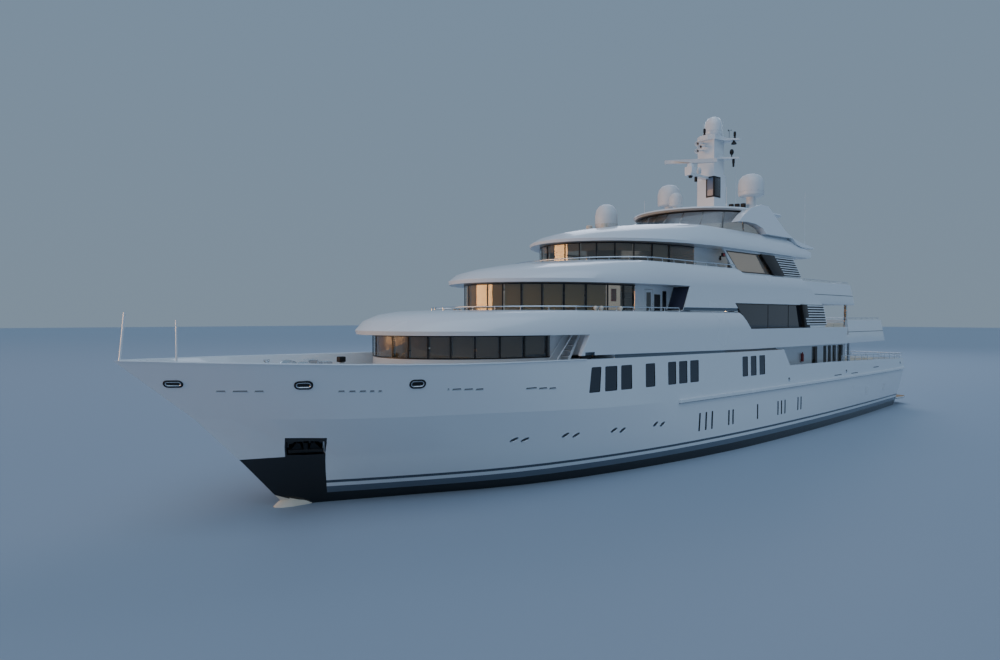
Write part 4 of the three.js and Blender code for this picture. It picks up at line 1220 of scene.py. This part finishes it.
# a control stand with a black hood, abaft the windlasses
add(foredeck, block((2452, -9, foreZ(2452) + 0.8), (2470, 9, 588), 2), white)
add(foredeck, block((2446, -16, 586), (2476, 16, 610), 3), rubberAndShade)
drum = [(0, -20), (22, -20), (24, -17), (24, -12), (17, -9), (17, 9), (24, 12), (24, 17), (22, 20), (0, 20)]
drum = [(r * 0.8, h) for r, h in drum]
links = 26
for _, sign in sides:
    add(foredeck, turned(drum, steps=32), steel, place=atPlace(2665, sign * 130, 573, 90, "X"))
    for i in range(links):
        x = 2672 + i * 7.6
        y = sign * (80 - 34 * i / links)
        upright, level = (0, 2.6) if i % 2 else (2.6, 0)
        path = [(x + 5.2 * c, y + level * s, foreZ(x) + 12 + upright * s) for c, s in circle(12)]
        add(foredeck, tube(path, 1.1, 6, closed=True), steel)
    y, z = sign * 46, foreZ(2864)
    add(foredeck, block((2864, y - 9, z + 0.8), (2884, y + 9, z + 18), 2), steel)
finished(foredeck, "foredeck_fittings")

# white capping along the top of the hull's bulwark, from the stem aft to the brow
capping = newPiece()
capSection = [(-10, 0), (-9, 3.2), (-6, 4.4), (2, 4.4), (4, 3.2), (4.6, 0)]
loops = []
for x in range(1520, 3330, 30):
    for z in range(660, 560, -1):
        point, _ = sideAt(x, z)
        if point is not None and point.y > 2:
            loops.append([(x, max(point.y + u, 1.0), z - 0.5 + v) for u, v in capSection])
            break
add(capping, loft(loops, capped=True), white, True)
finished(capping, "bulwark_capping")
print("foredeck made")


# Mast: lamps, horns, camera, panes, anemometer and whips

mastWork = newPiece()
# turned lamps and sensors: radii and heights from the foot, and where they stand
canister = [(0, 0), (8, 0), (8, 14), (6, 15), (6, 19), (9, 21), (9, 44), (7, 50), (0, 52)]
hanging = [(0, 0), (7, 0), (9, -6), (9, -30), (7, -32), (7, -52), (5, -56), (0, -57)]
bell = [(0, 0), (6, 0), (8, -6), (18, -20), (19, -26), (0, -27)]
ball = [(0, 0), (4, 0), (4, 20), (11, 26), (15, 38), (13, 52), (7, 60), (0, 62)]
mastLamps = [(canister, -378, 0, 2089)]
sideLamps = [
    (canister, -545, 140, 2068), (bell, -548, 132, 2057), (ball, -535, 123, 1933), (hanging, -540, 134, 1923),
]
for shape, x, y, z in sideLamps:
    mastLamps += [(shape, x, y, z), (shape, x, -y, z)]
for shape, x, y, z in mastLamps:
    add(mastWork, turned(shape, (x, y, z)), rubberAndShade)
# cup anemometer over the port arm
add(mastWork, tube([(-535, 102, 2068), (-535, 102, 2136)], 1.4, 8), rubberAndShade)
for c, s in circle(3):
    tip = (-535 + 13 * c, 102 + 13 * s, 2134)
    add(mastWork, tube([(-535, 102, 2134), tip], 0.8, 6), rubberAndShade)
    add(mastWork, turned([(0, -4), (4, 0), (3, 2.6), (0, 3)], tip, 12), rubberAndShade)
# three white horns under the upper platform, pointing ahead
hornShape = [(0, 0), (5, 0), (5, 34), (7, 56), (11, 72), (18, 84), (16, 85), (8, 70), (0, 66)]
# a black disc deep in each horn's mouth: painted shade
hornMouthShade = [(0, 69.5), (8, 69.5), (8, 70.5), (0, 70.5)]
for y, z in ((-24, 2046), (0, 2020), (-24, 1994)):
    seat = atPlace(-402, y, z, 104, "Y")
    add(mastWork, turned(hornShape, steps=24), white, place=seat)
    add(mastWork, turned(hornMouthShade), rubberAndShade, place=seat)
# a white lamp on the radar's bracket, a camera and a searchlight below it
smallLamp = [(0, 0), (9, 0), (9, 10), (15, 16), (17, 34), (13, 50), (6, 58), (0, 60)]
add(mastWork, turned(smallLamp, (-312, 0, 1794), 24), domeShell)
cameraBall = [(0, -16), (10, -15), (15, -9), (15, -4), (10, 0), (0, 0)]
add(mastWork, turned(cameraBall, (-206, 0, 1779), 24), rubberAndShade)
add(mastWork, block((-281, -8, 1746), (-265, 8, 1779), 2), rubberAndShade)
# a glazed panel round the foot's port corner, and one on its starboard side
mastPanes = [
    ((-397, 4, 1645), (-393.5, 69.5, 1794), rubberAndShade), ((-479, 66, 1645), (-395.5, 69.5, 1794), rubberAndShade),
    ((-395, 14, 1656), (-392.9, 61, 1784), paneGrey), ((-469, 67, 1656), (-407, 70.1, 1784), darkGlass),
]
for side, sign in sides:
    for (x0, y0, z0), (x1, y1, z1), finish in mastPanes if side == "port" else mastPanes[1::2]:
        near, far = sorted((sign * y0, sign * y1))
        add(mastWork, block((x0, near, z0), (x1, far, z1), 1), finish)
# rungs up the mast's back
for z in range(1580, 2040, 28):
    back = -547 if z < 1815 else -526
    step = [(back, -18, z), (back - 10, -18, z), (back - 10, 18, z), (back, 18, z)]
    add(mastWork, tube(bent(step, 4, 3), 1.2, 6), steel)
# a low row of dark boxes on the hardtop, inboard of the port dome
for x, y in ((-322, 246), (-340, 280), (-358, 314)):
    add(mastWork, block((x - 12, y - 14, 1508), (x + 12, y + 14, 1560), 3), rubberAndShade, True)
# whip aerials, each with a thick foot
whips = [
    (-930, 470, 1290, 1690), (-930, -470, 1290, 1690), (-600, 120, 1512, 1900), (-600, -120, 1512, 1900),
    (-120, 330, 1508, 1640), (-120, -330, 1508, 1640), (-540, 50, 2094, 2230), (-440, -50, 2094, 2200),
]
for x, y, low, high in whips:
    add(mastWork, tube([(x, y, low - 4), (x, y, low + 24)], 3, 12), white)
    add(mastWork, tube([(x, y, low), (x, y, high)], [1.3, 0.7], 8), white)
finished(mastWork, "mast_fittings")

# seams of the domes' two halves, with bolted flanges, by each dome's foot, radius and height
seams = newPiece()
domeSeats = [
    (-425, 333, 1612, 84, 152), (-425, -333, 1630, 84, 162), (690, 0, 1322, 68, 154),
    (-320, -199, 1602, 48, 98), (-494, 0, 2108, 61, 134),
]
for x, y, z, r, h in domeSeats:
    ring = [(r + 0.2, h * 0.19), (r + 1.2, h * 0.195), (r + 1.2, h * 0.205), (r + 0.2, h * 0.21)]
    add(seams, turned(ring, (x, y, z), 48, along=True), domeShell)
    for c, s in circle(12):
        bolt = (x + (r + 1) * c, y + (r + 1) * s, z + h * 0.2 - 1.5)
        add(seams, turned([(0, 0), (1.6, 0), (1.6, 3), (0, 3)], bolt, 6), steel)
finished(seams, "dome_seams")
print("mast made")


# Sun deck: the screen's posts and rims, and the vents by the forward dome

sunWork = newPiece()
screen = {"full": -250, "tip": (290, 120), "half": (436, 405), "z": (1256, 1477)}


# a place on the screen, at a share of its height
def onScreen(degrees, share, out=0.0):
    a = math.radians(degrees)
    tip, half, z = (low + (high - low) * share for low, high in (screen["tip"], screen["half"], screen["z"]))
    full = screen["full"]
    return Vector((full + (tip - full + out) * math.sin(a), (half + out) * math.cos(a), z))


for degrees in (8, 30, 50, 68, 84):
    add(sunWork, tube([onScreen(degrees, i / 6, -9) for i in range(7)], 4), steel, True)
for share in (0.012, 0.985):
    add(sunWork, tube([onScreen(turn, share) for turn in range(0, 91, 3)], 5, 8), darkFrame, True)
ventBox = [(0, 0), (12, 0), (12, 60), (19, 64), (19, 88), (14, 92), (0, 93)]
for y in (-60, 60):
    add(sunWork, turned(ventBox, (778, y, 1255), 24), curtainCloth)
finished(sunWork, "sun_deck_fittings")

lamps = newPiece()
for sign, glass in ((1, redLens), (-1, greenLens)):
    add(lamps, block((196, sign * 505 - 6, 1150), (222, sign * 505 + 8, 1172), 2), rubberAndShade)
    add(lamps, block((200, sign * 512 - 2, 1154), (221, sign * 512 + 3, 1168), 1.5), glass)
sternLamp = [(0, -9.6), (4, -9.6), (5.6, -7.2), (5.6, 7.2), (4, 9.6), (0, 9.6)]
sternGlass = [(0, -4), (5.92, -4), (5.92, 4), (0, 4)]
add(lamps, turned(sternLamp, (-2690, 0, 470)), rubberAndShade)
add(lamps, turned(sternGlass, (-2690, 0, 470)), clearLens)
add(lamps, block((116, 431, 1138), (126, 438, 1166), 2), rubberAndShade, True)
finished(lamps, "navigation_lamps")
print("sun deck made")


# Passages: handrails and treads of the steps beside the main tier, and the bottles by the saloon

passage = newPiece()
for y in (489, 541):
    rail = bent([(1668, y, 502), (1664, y, 585), (1560, y, 700)], 20)
    add(passage, tube(rail, 2.6), white, True)
treads = 7
for i in range(treads):
    share = (i + 1) / (treads + 1)
    x = 1642 - share * 134
    z = 500.3 + share * 202.4
    add(passage, block((x - 10, 490, z + 1.6), (x + 10, 538, z + 2.6), 0.4, 1), rubberAndShade, True)
bottle = [(0, 0), (9, 0), (10, 4), (10, 50), (6, 58), (3, 60), (3, 68), (0, 68)]
add(passage, turned(bottle, (-884, 482, 468)), lacquer, True)
for z in (480, 522):
    add(passage, block((-892, 469.5, z), (-876, 474, z + 4), 0.5), steel, True)
finished(passage, "passage_fittings")

# the swim platform's rubbing strip, grab rails and ladders
platform = newPiece()
strip = [(-2702, 480, 59), (-2840, 500, 59), (-2915, 482, 59), (-2942, 400, 59), (-2950, 0.5, 59)]
add(platform, tube(bent(strip, 40, 6), 5.5), steel, True)
for y in (-300, 300):
    grab = bent([(-2704, y - 60, 130), (-2730, y - 60, 130), (-2730, y + 60, 130), (-2704, y + 60, 130)], 8)
    add(platform, tube(grab, 3), steel)
for y in (-330, 330):
    for u in (-22, 22):
        stile = [(-2940, y + u, 66), (-2962, y + u, 60), (-2962, y + u, -60)]
        add(platform, tube(stile, 2.2, 8), steel)
    for z in (-50, -20, 10, 40):
        add(platform, tube([(-2962, y - 22, z), (-2962, y + 22, z)], 2.2, 8), steel)
finished(platform, "platform_trim")
print("platform made")


# Stage, light and camera, in metres

def link(thing):
    bpy.context.scene.collection.objects.link(thing)
    return thing


def aimed(thing, towards):
    thing.rotation_euler = Vector(towards).to_track_quat("-Z", "Y").to_euler()


# matt pale studio floor
floorMesh = bpy.data.meshes.new("floor")
floorMesh.from_pydata([(-60, -60, 0), (60, -60, 0), (60, 60, 0), (-60, 60, 0)], [], [(0, 1, 2, 3)])
floorMesh.materials.append(newSurface("pale_studio_floor", "9AA6B4", 0.6))
floor = link(bpy.data.objects.new("floor", floorMesh))

world = bpy.data.worlds.new("soft studio")
bpy.context.scene.world = world
world.use_nodes = True
worldTree = world.node_tree
worldTree.nodes.clear()
skyPlace = addNode(worldTree, "ShaderNodeTexCoord").outputs["Generated"]
skyAxes = addNode(worldTree, "ShaderNodeSeparateXYZ", links={"Vector": skyPlace})
skyShade = addNode(worldTree, "ShaderNodeValToRGB", links={"Fac": skyAxes.outputs["Z"]})
setStops(skyShade, [(0.0, toLinear("9FB4C9")), (1.0, toLinear("8FB0D4"))])
skyColour = skyShade.outputs["Color"]
backdrop = addNode(worldTree, "ShaderNodeBackground", {"Strength": 0.62}, {"Color": skyColour})
addNode(worldTree, "ShaderNodeOutputWorld", links={"Surface": backdrop.outputs["Background"]})

# the sun is a broad light from above, the same all over the floor
lights = [
    {
        "name": "low_warm", "kind": "AREA", "at": (22.5, -11.5, 2.4), "to": (1.5, 0, 1.2), "size": (17, 4.6),
        "power": 2100, "colour": "FFC07C",
    },
    {
        "name": "rim", "kind": "AREA", "at": (-9, -6, 8), "to": (0, 0, 0.8), "size": (7, 7), "power": 320,
        "colour": "DCE8FF",
    },
    {
        "name": "overhead", "kind": "SUN", "at": (0, 0, 0), "to": (-4, -5, -12), "spread": 70, "power": 1.05,
        "colour": "CFE2F8",
    },
]
for entry in lights:
    light = bpy.data.lights.new(entry["name"], entry["kind"])
    light.energy = entry["power"]
    light.color = toLinear(entry["colour"])[:3]
    if "size" in entry:
        light.shape = "RECTANGLE"
        light.size, light.size_y = entry["size"]
    else:
        light.angle = math.radians(entry["spread"])
    holder = link(bpy.data.objects.new(entry["name"], light))
    holder.location = entry["at"]
    aimed(holder, Vector(entry["to"]) - Vector(entry["at"]))

view = {"at": (3.773, 2.640, 0.780), "heading": (-0.6450, -0.7641), "down": 1.06, "lens": 23.4}
down = math.radians(view["down"])
ahead, across = (part * math.cos(down) for part in view["heading"])
lensData = bpy.data.cameras.new("camera")
lensData.lens = view["lens"]
lensData.sensor_width = 36
lensData.clip_end = 200
camera = link(bpy.data.objects.new("camera", lensData))
camera.location = view["at"]
aimed(camera, (ahead, across, -math.sin(down)))
bpy.context.scene.camera = camera
print("stage made")
